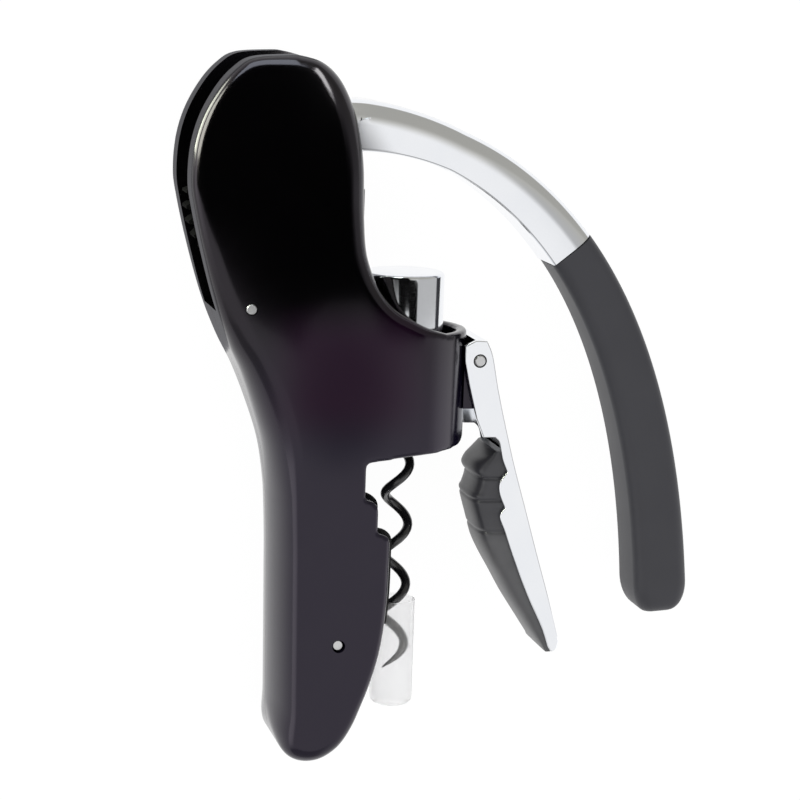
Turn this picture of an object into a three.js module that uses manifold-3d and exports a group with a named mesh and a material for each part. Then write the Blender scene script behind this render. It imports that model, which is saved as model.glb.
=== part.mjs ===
// Upright lever corkscrew, lying on its side: worm along Y, thickness along Z.
// A moulded body holds a fixed nut; swinging the lever drives a rack, which pulls
// the cap tube and the worm up while the nut turns the worm. Millimetres.
import * as THREE from "three";
import { mergeVertices } from "three/addons/utils/BufferGeometryUtils.js";
import Module from "manifold-3d";

const wasm = await Module();
wasm.setup();

// Driving dimensions.
const runGap = 0.3; // between pieces that rest in or on each other
const shaftGap = 0.1; // radial, a turning shaft in its hole
const overrun = 5; // how far a cutter runs past what it cuts
const filletSteps = 3;
const roundSegments = 32;
const tubeSegments = 48;
const pinSegments = 16;
const hingeSegments = 24;
const bracketSegments = 8;
const hubSegments = 12;
const screwSegments = 20;
const outlineSteps = 2; // per stretch of the body's outline
const windowSteps = 6; // per rounded corner of the neck window
const bendReach = 8; // wire radii along a wire that count as one bend

// Moulded body.
const bodyHalfWidth = 17.75;
const bodyBack = 62.2; // from the worm axis to the back of the head
const headTop = 95.2;
const legEnd = 99.5;
const edgeRound = 4.5;
const slotHalfWidth = 9;
const slotBackFloor = 26.8;
const slotBackStep = 50;
const collarRadius = 17.7;
const collarTop = 20.8;
const collarBottomFront = 11.2;
const collarBottomBack = 14;
const collarCorner = 6;
const collarWall = 3;
const shelfGap = 1.2; // radial, round the cap tube
const shelfThickness = 3.2;
const shelfTop = 0.3;
const seamGap = 0.3;

// Window for the bottle neck, with its two steps.
const windowBack = 13.3;
const windowCorner = 1.5;
const stepOneDrop = 24.4;
const stepOneOut = 9.5;
const stepTwoDrop = 33.9;
const stepTwoOut = 5.8;
const stepRound = 3.4;
const neckWall = 1.5;
const linerThickness = 1.3;
const linerProud = 0.7;
const linerTop = 15.5;
const linerBottom = 60;

// Lever, gear and rack.
const gearHeight = 56;
const gearModule = 1.25;
const gearTeeth = 33;
const dedendumShare = 1.25; // tooth root below the pitch line, of the module
const pressureAngle = THREE.MathUtils.degToRad(20);
const toothBacklash = 0.16;
const gearHalfWidth = 3.5;
const gearToothSpan = THREE.MathUtils.degToRad(200);
const gearCavityGap = 2.1;
const hubRadius = 15;
const forkSideGap = 0.7; // from the fork to the slot's side
const axleRadius = 3;
const axleHalfLength = 14;
const bushRadius = 5.2;
const rivetRadius = 1.2;
const rivetCircle = 9.5;
const rackHalfWidth = 4;
const rackDepth = 6.175; // from the rack's front to its pitch line
const rackBoreGap = 0.4; // from the collar's bore to the rack's thin lower end
const rackThinBelow = 3;
const rackTop = 59;
const rackBottom = 13;
const rackPocketGap = 0.5;

// Carriage: slide block and cap tube.
const tubeRadius = 11.2;
const tubeWall = 2;
const tubeTop = 36.2;
const tubeBottom = -2.6;
const tubeEdgeRound = 1.4;
const blockWeb = 1; // between the cap tube and the rack
const blockDepth = 13.5;
const blockBehindRack = 9.2;
const blockBottom = 8;
const blockTop = 30;
const blockPocketGap = 0.5;
const rackPinRadius = 1.2;
const rackPinInset = 4.5;

// Worm and what holds it.
const wormWireRadius = 1.33;
const wormHelixRadius = 3.3;
const wormPitch = 17.3;
const wormTip = -76.6;
const wormCrest = -34.6; // a height at which the wire stands furthest forward
const wormStepsPerTurn = 12;
const wormSides = 8;
const wormPointLength = 6;
const wormBluntShare = 0.25; // of the wire's radius, left at the point
const wormHeadThickness = 6;
const washerThickness = 3;
const ringThickness = 1.6;
const ringBoreShare = 0.5; // of the cap tube's radius

// Fixed nut on its carrier.
const carrierTubeGap = 0.7; // radial, inside the cap tube
const carrierBoreShare = 0.8; // of the carrier's radius
const carrierTop = 17;
const carrierFlange = 3;
const nutSeat = 10.3;
const nutSeatWidth = 0.2;
const nutFlangeTop = 19.4;
const nutPassageGap = 0.4;
const lipRingThickness = 2.2;
const lipRingBore = 7.3;

// Clear sleeve on the worm's point.
const sleeveRadius = 6;
const sleeveWall = 1;
const sleeveTop = -57;
const sleeveBottom = -87.3;
const sleeveBottomRound = 2;

// Pins.
const pinRadius = 1.55;
const pinHoleRadius = 1.8;
const upperPinBack = 45.9;
const upperPinDrop = 3.5; // below the space round the gear
const lowerPinBack = 19.7;
const lowerPinDrop = 65.1;
const lowerPinRecess = 1.3;

// Clamp lever, its pad, bracket and spring.
const clampLength = 90;
const clampHalfWidth = 11;
const clampWall = 1.2;
const clampHeadRise = 5.7; // top of the clamp above its hinge
const hingeProud = 1.8; // hinge in front of the collar
const hingeHeight = 12.7;
const hingePinRadius = 1.55;
const knuckleRadius = 2.6;
const knuckleInner = 3.1;
const knuckleOuter = 9;
const bracketThickness = 2;
const bracketHalfAngle = THREE.MathUtils.degToRad(31);
const bracketTop = 18.6;
const bracketBottom = -8.4;
const padTopDrop = 3.4; // below the clamp's outer bend
const padTopDepth = 3;
const padNeckRadius = 16;
const padNeckReach = 2;
const padNeckTiltShare = 0.85;
const springWireRadius = 0.4;
const springTurns = 3.5; // half turns leave one leg on the bracket, one on the clamp
const springLegDrop = 6.5;
const springPinGap = 0.2;
const springStepsPerTurn = 8;
const springSides = 5;
const bracketScrewRadius = 1.5;
const bracketScrewHead = 2.6;
const bracketScrewHeadHeight = 1.2;
const bracketScrewSpacing = 8;
const bracketScrewTop = 3;

// Hand lever: an arch from the hub to the end of the grip.
const archStart = [-14, 76.4];
const archRise = [7.2, 74.9];
const archBend = [71.5, 60.3];
const archEnd = [77.9, -62.3];
const gripStartShare = 0.575;
const tangEndShare = 0.86;
const armSideDrop = 0.2; // the arm is a little narrower than its hub
const shoulderBackShare = 0.78;
const shoulderRiseShare = 1.4;
const rootOverlapShare = 0.02;
const hubTopAngle = THREE.MathUtils.degToRad(100); // where the shoulder leaves the hub
const hubFrontAngle = THREE.MathUtils.degToRad(15);
const rootProud = 0.15; // the hub stands a little prouder than the arm that grows from it
const gripHalfWidth = 9.4;
const armDepthRoot = 13.6;
const armDepthWaist = 11.4;
const armDepthJoint = 13.6;
const gripDepthEnd = 16;
const tangDepth = 6;
const tangHalfWidth = 4;
const armCornerShare = 0.25;
const gripCornerShare = 0.5;
const gripEndRound = 4.5;
const armSteps = 14;
const tangSteps = 8;
const gripSteps = 12;

// Sizes that follow from the driving ones.
const boreRadius = collarRadius - collarWall;
const shelfRadius = tubeRadius + shelfGap;
const neckRadius = collarRadius - neckWall;
const hingeFront = collarRadius + hingeProud;
const forkHalfWidth = slotHalfWidth - forkSideGap;
const armHalfWidth = forkHalfWidth - armSideDrop;
const pitchRadius = (gearModule * gearTeeth) / 2;
const gearTipRadius = pitchRadius + gearModule;
const gearRootRadius = pitchRadius - dedendumShare * gearModule;
const gearCavity = gearTipRadius + gearCavityGap;
const toothPitch = Math.PI * gearModule;
const rackFront = tubeRadius + blockWeb + 2 * runGap;
const rackThinFront = boreRadius + rackBoreGap;
const rackPitchLine = -rackFront - rackDepth;
const rackRoot = rackPitchLine + dedendumShare * gearModule;
const rackTip = rackPitchLine - gearModule;
const gearBack = pitchRadius - rackPitchLine; // gear centre behind the worm axis
const blockBack = rackFront + blockBehindRack;
const blockFront = blockBack - blockDepth;
const blockHalfWidth = slotHalfWidth - runGap;
const blockPocketBack = blockBack + blockPocketGap;
const blockPocketFloor = blockBottom - blockPocketGap;
const tubeBore = tubeRadius - tubeWall;
const tubeCeiling = tubeTop - tubeWall;
const ringBore = ringBoreShare * tubeRadius;
const wormHeadTop = tubeCeiling - washerThickness - 3 * runGap;
const wormHeadBottom = wormHeadTop - wormHeadThickness;
const carrierRadius = tubeBore - carrierTubeGap;
const carrierBore = carrierBoreShare * carrierRadius;
const nutBodyRadius = carrierBore + nutSeatWidth;
const upperPinHeight = gearHeight - gearCavity - upperPinDrop;

const steel = new THREE.MeshStandardMaterial({ color: 0xc4c8cc, roughness: 0.3, metalness: 1 });
const chrome = new THREE.MeshStandardMaterial({ color: 0xe6e9ee, roughness: 0.08, metalness: 1 });
const brass = new THREE.MeshStandardMaterial({ color: 0xb08d45, roughness: 0.35, metalness: 1 });
const blackPlastic = new THREE.MeshStandardMaterial({ color: 0x232227, roughness: 0.32 });
const greyGrip = new THREE.MeshStandardMaterial({ color: 0x3c3d42, roughness: 0.55 });
const rubber = new THREE.MeshStandardMaterial({ color: 0x2b2b2e, roughness: 0.8 });
const blackWire = new THREE.MeshStandardMaterial({ color: 0x1b1b1e, roughness: 0.3, metalness: 0.2 });
const clearPlastic = new THREE.MeshStandardMaterial({
  color: 0xeeeeef,
  roughness: 0.4,
  transparent: true,
  opacity: 0.5,
});
const nylon = new THREE.MeshStandardMaterial({ color: 0xe4e0d4, roughness: 0.6 });

// A closed geometry as a solid that can be joined and cut.
function solidOf(geometry) {
  const bare = geometry.clone();
  for (const name of Object.keys(bare.attributes)) {
    if (name !== "position") bare.deleteAttribute(name);
  }
  const merged = mergeVertices(bare);
  return new wasm.Manifold(
    new wasm.Mesh({
      numProp: 3,
      vertProperties: merged.attributes.position.array,
      triVerts: new Uint32Array(merged.index.array),
    }),
  );
}

function geometryOf(solid) {
  const mesh = solid.getMesh();
  const geometry = new THREE.BufferGeometry();
  geometry.setAttribute("position", new THREE.BufferAttribute(mesh.vertProperties, 3));
  geometry.setIndex(new THREE.BufferAttribute(mesh.triVerts, 1));
  const flat = geometry.toNonIndexed();
  flat.computeVertexNormals();
  return flat;
}

function cut(base, ...cutters) {
  return cutters.reduce((left, cutter) => left.subtract(cutter), base);
}

function join(base, ...others) {
  return others.reduce((whole, other) => whole.add(other), base);
}

// Shape in the XY plane, extruded evenly to both sides of Z = 0.
function slab(shape, halfWidth, round = 0, curveSegments = filletSteps) {
  const geometry = new THREE.ExtrudeGeometry(shape, {
    depth: 2 * (halfWidth - round),
    bevelEnabled: round > 0,
    bevelThickness: round,
    bevelSize: round,
    bevelOffset: -round,
    bevelSegments: filletSteps,
    curveSegments,
  });
  return solidOf(geometry.translate(0, 0, round - halfWidth));
}

// Shape in the XZ plane as seen from the worm's point, extruded along the worm axis.
function alongWorm(shape, bottom, height, curveSegments) {
  const geometry = new THREE.ExtrudeGeometry(shape, { depth: height, bevelEnabled: false, curveSegments });
  geometry.rotateX(-Math.PI / 2);
  return solidOf(geometry.translate(0, bottom, 0));
}

function box(xMin, xMax, yMin, yMax, zMin, zMax) {
  const geometry = new THREE.BoxGeometry(xMax - xMin, yMax - yMin, zMax - zMin);
  return solidOf(geometry.translate((xMin + xMax) / 2, (yMin + yMax) / 2, (zMin + zMax) / 2));
}

// Solid of revolution about the worm axis, from [radius, height] pairs that run upwards.
function turned(profile, segments = roundSegments) {
  const points = profile.map(([radius, height]) => new THREE.Vector2(radius, height));
  return solidOf(new THREE.LatheGeometry(points, segments));
}

// Ring about the worm axis: its section runs round once and closes.
function ring(inner, outer, bottom, top, segments = roundSegments) {
  return turned([[inner, bottom], [outer, bottom], [outer, top], [inner, top], [inner, bottom]], segments);
}

function rod(radius, bottom, top, segments = roundSegments) {
  return turned([[0, bottom], [radius, bottom], [radius, top], [0, top]], segments);
}

// Round pin that runs along Z through (x, y).
function crossPin(x, y, radius, zMin, zMax, segments = pinSegments) {
  const geometry = new THREE.CylinderGeometry(radius, radius, zMax - zMin, segments);
  geometry.rotateX(Math.PI / 2);
  return solidOf(geometry.translate(x, y, (zMin + zMax) / 2));
}

function centredPin(x, y, radius, halfLength, segments = pinSegments) {
  return crossPin(x, y, radius, -halfLength, halfLength, segments);
}

// Skin over a row of rings with as many points each, closed at both ends.
function loft(rings) {
  const count = rings[0].length;
  const positions = [];
  const corner = (ringIndex, pointIndex) => rings[ringIndex][pointIndex % count];
  const face = (...points) => points.forEach((point) => positions.push(point.x, point.y, point.z));
  for (let i = 0; i + 1 < rings.length; i += 1) {
    for (let j = 0; j < count; j += 1) {
      face(corner(i, j), corner(i, j + 1), corner(i + 1, j + 1));
      face(corner(i, j), corner(i + 1, j + 1), corner(i + 1, j));
    }
  }
  const last = rings.length - 1;
  for (let j = 1; j + 1 < count; j += 1) {
    face(corner(0, 0), corner(0, j + 1), corner(0, j));
    face(corner(last, 0), corner(last, j), corner(last, j + 1));
  }
  const geometry = new THREE.BufferGeometry();
  geometry.setAttribute("position", new THREE.Float32BufferAttribute(positions, 3));
  return solidOf(geometry);
}

// Round wire along a row of centres. outwardAt gives a side direction for each centre.
function wire(centres, radiusAt, sides, outwardAt) {
  const last = centres.length - 1;
  const rings = centres.map((centre, i) => {
    const along = centres[Math.min(i + 1, last)].clone().sub(centres[Math.max(i - 1, 0)]).normalize();
    const side = outwardAt(centre);
    side.addScaledVector(along, -side.dot(along)).normalize();
    const up = new THREE.Vector3().crossVectors(along, side);
    const points = [];
    for (let j = 0; j < sides; j += 1) {
      const angle = (2 * Math.PI * j) / sides;
      const point = centre.clone();
      point.addScaledVector(side, radiusAt(i / last) * Math.cos(angle));
      point.addScaledVector(up, radiusAt(i / last) * Math.sin(angle));
      points.push(point);
    }
    return points;
  });
  return loft(rings);
}

// Least gap of a wire to itself, on its centres, past the length of wire that bends away.
function leastSelfGap(centres, radius) {
  const travelled = [0];
  for (let i = 1; i < centres.length; i += 1) {
    travelled.push(travelled[i - 1] + centres[i].distanceTo(centres[i - 1]));
  }
  let least = Infinity;
  centres.forEach((centre, i) => {
    centres.forEach((other, j) => {
      const apart = travelled[j] - travelled[i];
      if (apart > bendReach * radius) least = Math.min(least, centre.distanceTo(other));
    });
  });
  return least - 2 * radius;
}

function placed(shares, place) {
  return shares.map((share) => new THREE.Vector2(...place(share)));
}

// Outline of head, body and leg. Shares are of the body's back reach, and of the
// head's height above, or the leg's length below, the height where Y is zero.
function bodyPoint([backShare, heightShare]) {
  return [backShare * bodyBack, heightShare * (heightShare > 0 ? headTop : legEnd)];
}

const legShares = [
  [-0.579, -0.864], [-0.553, -0.935], [-0.502, -0.981], [-0.434, -1], [-0.363, -0.993],
  [-0.293, -0.961], [-0.238, -0.905], [-0.198, -0.84], [-0.164, -0.778], [-0.13, -0.698],
  [-0.108, -0.613], [-0.095, -0.513], [-0.093, -0.402],
];
const swoopShares = [
  [0.051, 0.239], [-0.024, 0.263], [-0.085, 0.286], [-0.138, 0.32], [-0.185, 0.369],
  [-0.217, 0.423], [-0.233, 0.475], [-0.241, 0.567], [-0.246, 0.683], [-0.264, 0.772],
  [-0.299, 0.857], [-0.363, 0.937], [-0.45, 0.983], [-0.555, 1],
];
const backShares = [
  [-0.732, 0.992], [-0.814, 0.962], [-0.887, 0.908], [-0.953, 0.83], [-0.99, 0.746],
  [-1, 0.651], [-0.984, 0.577], [-0.941, 0.453], [-0.881, 0.31], [-0.814, 0.191],
  [-0.746, 0.099], [-0.678, -0.02], [-0.633, -0.116], [-0.605, -0.226], [-0.587, -0.362],
  [-0.58, -0.523], [-0.579, -0.864],
];

function collarBottomAt(x) {
  const share = (x + windowBack) / (collarRadius - collarCorner + windowBack);
  return -collarBottomBack + share * (collarBottomBack - collarBottomFront);
}

function bodyOutline() {
  const shape = new THREE.Shape();
  const [start, ...leg] = placed(legShares, bodyPoint);
  const legTop = leg[leg.length - 1];
  const rim = bodyHalfWidth - collarRadius / 2;
  shape.moveTo(start.x, start.y);
  shape.splineThru(leg);
  shape.lineTo(legTop.x, collarBottomAt(legTop.x));
  shape.lineTo(collarRadius - collarCorner, -collarBottomFront);
  shape.quadraticCurveTo(collarRadius, -collarBottomFront, collarRadius, collarCorner - collarBottomFront);
  shape.lineTo(collarRadius, collarTop);
  shape.lineTo(rim, collarTop);
  shape.splineThru(placed(swoopShares, bodyPoint));
  shape.splineThru(placed(backShares, bodyPoint));
  return shape;
}

// What the bottle's neck needs at the front of the leg, with a step per lip size.
function neckWindow(proud) {
  const shape = new THREE.Shape();
  const front = collarRadius + overrun;
  const back = -windowBack + proud;
  const stepOne = -stepOneOut + proud;
  const stepTwo = -stepTwoOut + proud;
  shape.moveTo(front, collarBottomAt(front));
  shape.lineTo(back + windowCorner, collarBottomAt(back + windowCorner));
  shape.quadraticCurveTo(back, collarBottomAt(back), back, collarBottomAt(back) - windowCorner);
  shape.lineTo(back, proud - stepOneDrop);
  shape.quadraticCurveTo(stepOne, proud - stepOneDrop, stepOne, proud - stepOneDrop - stepRound);
  shape.lineTo(stepOne, proud - stepTwoDrop);
  shape.quadraticCurveTo(stepTwo, proud - stepTwoDrop, stepTwo, proud - stepTwoDrop - stepRound);
  shape.lineTo(front, proud - stepTwoDrop - stepRound);
  return shape;
}

// Collar and body seen along the worm: flat sides and a round front.
function bodySection() {
  const shape = new THREE.Shape();
  shape.moveTo(0, -collarRadius);
  shape.absarc(0, 0, collarRadius, -Math.PI / 2, Math.PI / 2);
  shape.lineTo(-bodyBack - overrun, bodyHalfWidth);
  shape.lineTo(-bodyBack - overrun, -bodyHalfWidth);
  const height = headTop + legEnd + 2 * overrun;
  return alongWorm(shape, -legEnd - overrun, height, roundSegments);
}

// The slot between the head's cheeks, its floor curved round the gear.
function headSlot() {
  const shape = new THREE.Shape();
  const top = headTop + overrun;
  const frontAngle = -Math.acos((gearBack - blockPocketBack) / gearCavity);
  const backAngle = -Math.PI + Math.acos((slotBackStep - gearBack) / gearCavity);
  shape.moveTo(-bodyBack - overrun, top);
  shape.lineTo(-bodyBack - overrun, slotBackFloor);
  shape.lineTo(-slotBackStep, slotBackFloor);
  shape.absarc(-gearBack, gearHeight, gearCavity, backAngle, frontAngle);
  shape.lineTo(0, gearHeight + gearCavity * Math.sin(frontAngle));
  shape.lineTo(0, top);
  return slab(shape, slotHalfWidth, 0, hubSegments);
}

function bodyCutters() {
  const far = headTop + overrun;
  const pocketTip = rackTip - rackPocketGap;
  const pocketHalf = rackHalfWidth + rackPocketGap;
  const boreWall = -boreRadius + rackPocketGap;
  return [
    slab(neckWindow(0), bodyHalfWidth + overrun, 0, windowSteps),
    headSlot(),
    rod(boreRadius, shelfTop, far, tubeSegments),
    rod(shelfRadius, -far, far, tubeSegments),
    rod(boreRadius, -far, shelfTop - shelfThickness, tubeSegments),
    rod(neckRadius, -far, -collarBottomBack - runGap, tubeSegments),
    box(-blockPocketBack, 0, blockPocketFloor, far, -slotHalfWidth, slotHalfWidth),
    box(pocketTip, -rackFront + rackPocketGap, rackThinBelow, far, -pocketHalf, pocketHalf),
    box(pocketTip, boreWall, -rackBottom - rackPocketGap, far, -pocketHalf, pocketHalf),
    centredPin(-upperPinBack, upperPinHeight, pinRadius + shaftGap, far),
    centredPin(-lowerPinBack, -lowerPinDrop, pinHoleRadius, far),
    centredPin(-gearBack, gearHeight, bushRadius + shaftGap, axleHalfLength + runGap, roundSegments),
    bracketBlank(runGap, bracketHalfAngle + runGap / collarRadius),
    centredPin(hingeFront, hingeHeight, knuckleRadius + runGap, knuckleOuter + runGap, roundSegments),
    ...bracketScrewHeights().map((height) => bracketScrew(height, runGap)),
  ];
}

function housing() {
  const outline = slab(bodyOutline(), bodyHalfWidth, edgeRound, outlineSteps);
  return cut(outline.intersect(bodySection()), ...bodyCutters());
}

// One of the two shells that meet on the mid-plane.
function housingShell(whole, side) {
  const far = headTop + legEnd;
  const near = side * (seamGap / 2);
  const away = side * (bodyHalfWidth + overrun);
  return whole.intersect(box(-far, far, -far, far, Math.min(near, away), Math.max(near, away)));
}

// Rubber in the channel that takes the bottle's neck, stepped like the leg's edge.
function neckLiner() {
  const outer = neckRadius - runGap;
  const sleeve = ring(outer - linerThickness, outer, -linerBottom, -linerTop, tubeSegments);
  const outline = slab(bodyOutline(), bodyHalfWidth - edgeRound / 2, 0, outlineSteps);
  const shifted = outline.translate([linerProud, 0, 0]);
  const window = slab(neckWindow(linerProud), bodyHalfWidth + overrun, 0, windowSteps);
  return cut(sleeve.intersect(shifted), window);
}

function nutCarrier() {
  const flangeTop = shelfTop - shelfThickness - runGap;
  return turned([
    [carrierBore, flangeTop - carrierFlange],
    [boreRadius - runGap, flangeTop - carrierFlange],
    [boreRadius - runGap, flangeTop],
    [carrierRadius, flangeTop],
    [carrierRadius, carrierTop],
    [nutBodyRadius + shaftGap, carrierTop],
    [nutBodyRadius + shaftGap, nutSeat - runGap],
    [carrierBore, nutSeat - runGap],
    [carrierBore, flangeTop - carrierFlange],
  ]);
}

function lipSeatRing() {
  const top = shelfTop - shelfThickness - carrierFlange - 2 * runGap;
  return ring(lipRingBore, boreRadius - runGap, top - lipRingThickness, top);
}

// Point of the worm's centre line, by its height.
function wormCentre(height) {
  const angle = (2 * Math.PI * (height - wormCrest)) / wormPitch;
  return new THREE.Vector3(wormHelixRadius * Math.cos(angle), height, -wormHelixRadius * Math.sin(angle));
}

function helicalWire(bottom, top, radiusAt, stepsPerTurn, sides) {
  const steps = Math.ceil(((top - bottom) / wormPitch) * stepsPerTurn);
  const centres = [];
  for (let i = 0; i <= steps; i += 1) centres.push(wormCentre(bottom + ((top - bottom) * i) / steps));
  return wire(centres, radiusAt, sides, (centre) => new THREE.Vector3(centre.x, 0, centre.z));
}

function worm() {
  const top = (wormHeadBottom + wormHeadTop) / 2;
  const length = top - wormTip;
  const pointShare = wormPointLength / length;
  const full = 1 - wormBluntShare;
  const taper = (share) => wormWireRadius * Math.min(1, wormBluntShare + full * (share / pointShare));
  const coil = helicalWire(wormTip, top, taper, wormStepsPerTurn, wormSides);
  return join(coil, rod(tubeBore - 2 * runGap, wormHeadBottom, wormHeadTop));
}

// Nut with a helical passage that is a little wider than the worm's wire.
function wormNut() {
  const blank = turned([
    [0, nutSeat],
    [nutBodyRadius, nutSeat],
    [nutBodyRadius, carrierTop + runGap],
    [carrierRadius, carrierTop + runGap],
    [carrierRadius, nutFlangeTop],
    [0, nutFlangeTop],
  ]);
  const radiusAt = () => wormWireRadius + nutPassageGap;
  const bottom = nutSeat - overrun;
  return cut(blank, helicalWire(bottom, nutFlangeTop + overrun, radiusAt, pinSegments, hubSegments));
}

function capTube() {
  const shoulder = tubeTop - tubeEdgeRound;
  const profile = [[tubeBore, tubeBottom], [tubeRadius, tubeBottom]];
  for (let i = 0; i <= filletSteps; i += 1) {
    const angle = (Math.PI / 2) * (i / filletSteps);
    const radius = tubeRadius - tubeEdgeRound + tubeEdgeRound * Math.cos(angle);
    profile.push([radius, shoulder + tubeEdgeRound * Math.sin(angle)]);
  }
  profile.push([0, tubeTop], [0, tubeCeiling], [tubeBore, tubeCeiling], [tubeBore, tubeBottom]);
  return turned(profile, tubeSegments);
}

function thrustWasher() {
  const top = tubeCeiling - runGap;
  return ring(ringBore, tubeBore - runGap, top - washerThickness, top);
}

function retainingRing() {
  const top = wormHeadBottom - runGap;
  return ring(ringBore, tubeBore - runGap, top - ringThickness, top);
}

// Slides in the body's pocket, hugs the cap tube and holds the rack between its cheeks.
function slideBlock() {
  const blank = box(-blockBack, -blockFront, blockBottom, blockTop, -blockHalfWidth, blockHalfWidth);
  const groove = rackHalfWidth + runGap;
  return cut(
    blank,
    rod(tubeRadius + runGap, blockBottom - overrun, blockTop + overrun, tubeSegments),
    box(-blockBack - overrun, -rackFront + runGap, -headTop, headTop, -groove, groove),
    ...rackPinHeights().map((height) => rackPinAt(height, shaftGap)),
  );
}

function rackPinHeights() {
  return [blockBottom + rackPinInset, blockTop - rackPinInset];
}

function rackPinAt(height, gap) {
  const middle = (rackRoot - rackFront) / 2;
  return centredPin(middle, height, rackPinRadius + gap, blockHalfWidth + gap);
}

function rackBar() {
  const shape = new THREE.Shape();
  const halfPitchTooth = toothPitch / 4 - toothBacklash / 2;
  const tipHalf = halfPitchTooth - gearModule * Math.tan(pressureAngle);
  const rootHalf = halfPitchTooth + (rackRoot - rackPitchLine) * Math.tan(pressureAngle);
  const toothCount = Math.floor((rackTop + rackBottom - 2 * rootHalf) / toothPitch);
  shape.moveTo(rackRoot, -rackBottom);
  shape.lineTo(-rackThinFront, -rackBottom);
  shape.lineTo(-rackThinFront, rackThinBelow + rackPocketGap);
  shape.lineTo(-rackFront, rackThinBelow + rackPocketGap);
  shape.lineTo(-rackFront, rackTop);
  shape.lineTo(rackRoot, rackTop);
  // A tooth stands half a pitch above and below the gear's height, where the gear has its own.
  const topTooth = Math.floor((rackTop - rootHalf - gearHeight - toothPitch / 2) / toothPitch);
  for (let i = 0; i < toothCount; i += 1) {
    const height = gearHeight + toothPitch / 2 + (topTooth - i) * toothPitch;
    if (height - rootHalf > -rackBottom) {
      shape.lineTo(rackRoot, height + rootHalf);
      shape.lineTo(rackTip, height + tipHalf);
      shape.lineTo(rackTip, height - tipHalf);
      shape.lineTo(rackRoot, height - rootHalf);
    }
  }
  return cut(slab(shape, rackHalfWidth), ...rackPinHeights().map((height) => rackPinAt(height, shaftGap)));
}

// Bush between the axle and one cheek.
function axleBush(side) {
  const near = side * (slotHalfWidth + runGap);
  const away = side * axleHalfLength;
  const low = Math.min(near, away);
  const high = Math.max(near, away);
  const bush = crossPin(-gearBack, gearHeight, bushRadius, low, high, roundSegments);
  return cut(bush, axleBore(axleHalfLength));
}

// Flank of an involute tooth: half its angle at a given radius.
function toothHalfAngle(radius) {
  const baseRadius = pitchRadius * Math.cos(pressureAngle);
  const involute = (at) => {
    const slope = Math.sqrt(Math.max(0, (at / baseRadius) ** 2 - 1));
    return slope - Math.atan(slope);
  };
  const atPitch = (toothPitch / 2 - toothBacklash) / (2 * pitchRadius);
  return atPitch + involute(pitchRadius) - involute(Math.max(radius, baseRadius));
}

function axleBore(halfLength) {
  return centredPin(-gearBack, gearHeight, axleRadius + shaftGap, halfLength + overrun, roundSegments);
}

// Gear sector: a full disc with teeth on the side that meets the rack over the stroke.
function sectorGear() {
  const shape = new THREE.Shape();
  const toothAngle = (2 * Math.PI) / gearTeeth;
  const toothCount = Math.ceil(gearToothSpan / toothAngle);
  const flankRadii = [gearRootRadius, pitchRadius, (pitchRadius + gearTipRadius) / 2, gearTipRadius];
  const polar = (radius, angle) => [
    -gearBack + radius * Math.cos(angle),
    gearHeight + radius * Math.sin(angle),
  ];
  const first = -(toothCount - 1) * toothAngle + toothAngle;
  shape.moveTo(...polar(gearRootRadius, first - toothAngle / 2));
  for (let i = 0; i < toothCount; i += 1) {
    const middle = first + i * toothAngle;
    flankRadii.forEach((radius) => shape.lineTo(...polar(radius, middle - toothHalfAngle(radius))));
    for (const radius of [...flankRadii].reverse()) {
      shape.lineTo(...polar(radius, middle + toothHalfAngle(radius)));
    }
  }
  const end = first + (toothCount - 1) * toothAngle + toothAngle / 2;
  shape.lineTo(...polar(gearRootRadius, end));
  shape.lineTo(...polar(hubRadius, end + toothAngle));
  shape.absarc(-gearBack, gearHeight, hubRadius, end + toothAngle, first + 2 * Math.PI - toothAngle);
  return cut(slab(shape, gearHalfWidth, 0, hubSegments), axleBore(slotHalfWidth), ...rivets(shaftGap));
}

function rivets(gap) {
  const third = (2 * Math.PI) / 3;
  return [0, third, 2 * third].map((turn) => Math.PI / 2 + turn).map((angle) =>
    centredPin(
      -gearBack + rivetCircle * Math.cos(angle),
      gearHeight + rivetCircle * Math.sin(angle),
      rivetRadius + gap,
      forkHalfWidth + gap,
    ),
  );
}

const archCurve = new THREE.CubicBezierCurve(
  new THREE.Vector2(...archStart),
  new THREE.Vector2(...archRise),
  new THREE.Vector2(...archBend),
  new THREE.Vector2(...archEnd),
);

// Depth of the lever in the plane of its arch: waisted on the arm, fuller in the grip.
function archDepth(share) {
  const mix = THREE.MathUtils.lerp;
  const waistShare = gripStartShare / 2;
  if (share < waistShare) return mix(armDepthRoot, armDepthWaist, share / waistShare);
  if (share < gripStartShare) {
    return mix(armDepthWaist, armDepthJoint, (share - waistShare) / (gripStartShare - waistShare));
  }
  return mix(armDepthJoint, gripDepthEnd, (share - gripStartShare) / (1 - gripStartShare));
}

// Section across the arch: flat sides and rounded corners.
function archRing(share, depth, halfWidth, cornerShare, shrink = 0) {
  const centre = archCurve.getPoint(share);
  const along = archCurve.getTangent(share);
  const outward = new THREE.Vector2(-along.y, along.x);
  const points = [];
  const halfDepth = depth / 2 - shrink;
  const half = halfWidth - shrink;
  const corner = cornerShare * Math.min(halfDepth, half);
  for (let quarter = 0; quarter < 4; quarter += 1) {
    for (let i = 0; i <= filletSteps; i += 1) {
      const angle = (Math.PI / 2) * (quarter + i / filletSteps);
      const acrossSide = quarter === 0 || quarter === 3 ? 1 : -1;
      const widthSide = quarter < 2 ? 1 : -1;
      const across = acrossSide * (halfDepth - corner) + corner * Math.cos(angle);
      const z = widthSide * (half - corner) + corner * Math.sin(angle);
      points.push(new THREE.Vector3(centre.x + outward.x * across, centre.y + outward.y * across, z));
    }
  }
  return points;
}

function archLoft(from, to, steps, ringAt) {
  const rings = [];
  for (let i = 0; i <= steps; i += 1) rings.push(ringAt(from + ((to - from) * i) / steps));
  return loft(rings);
}

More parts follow.
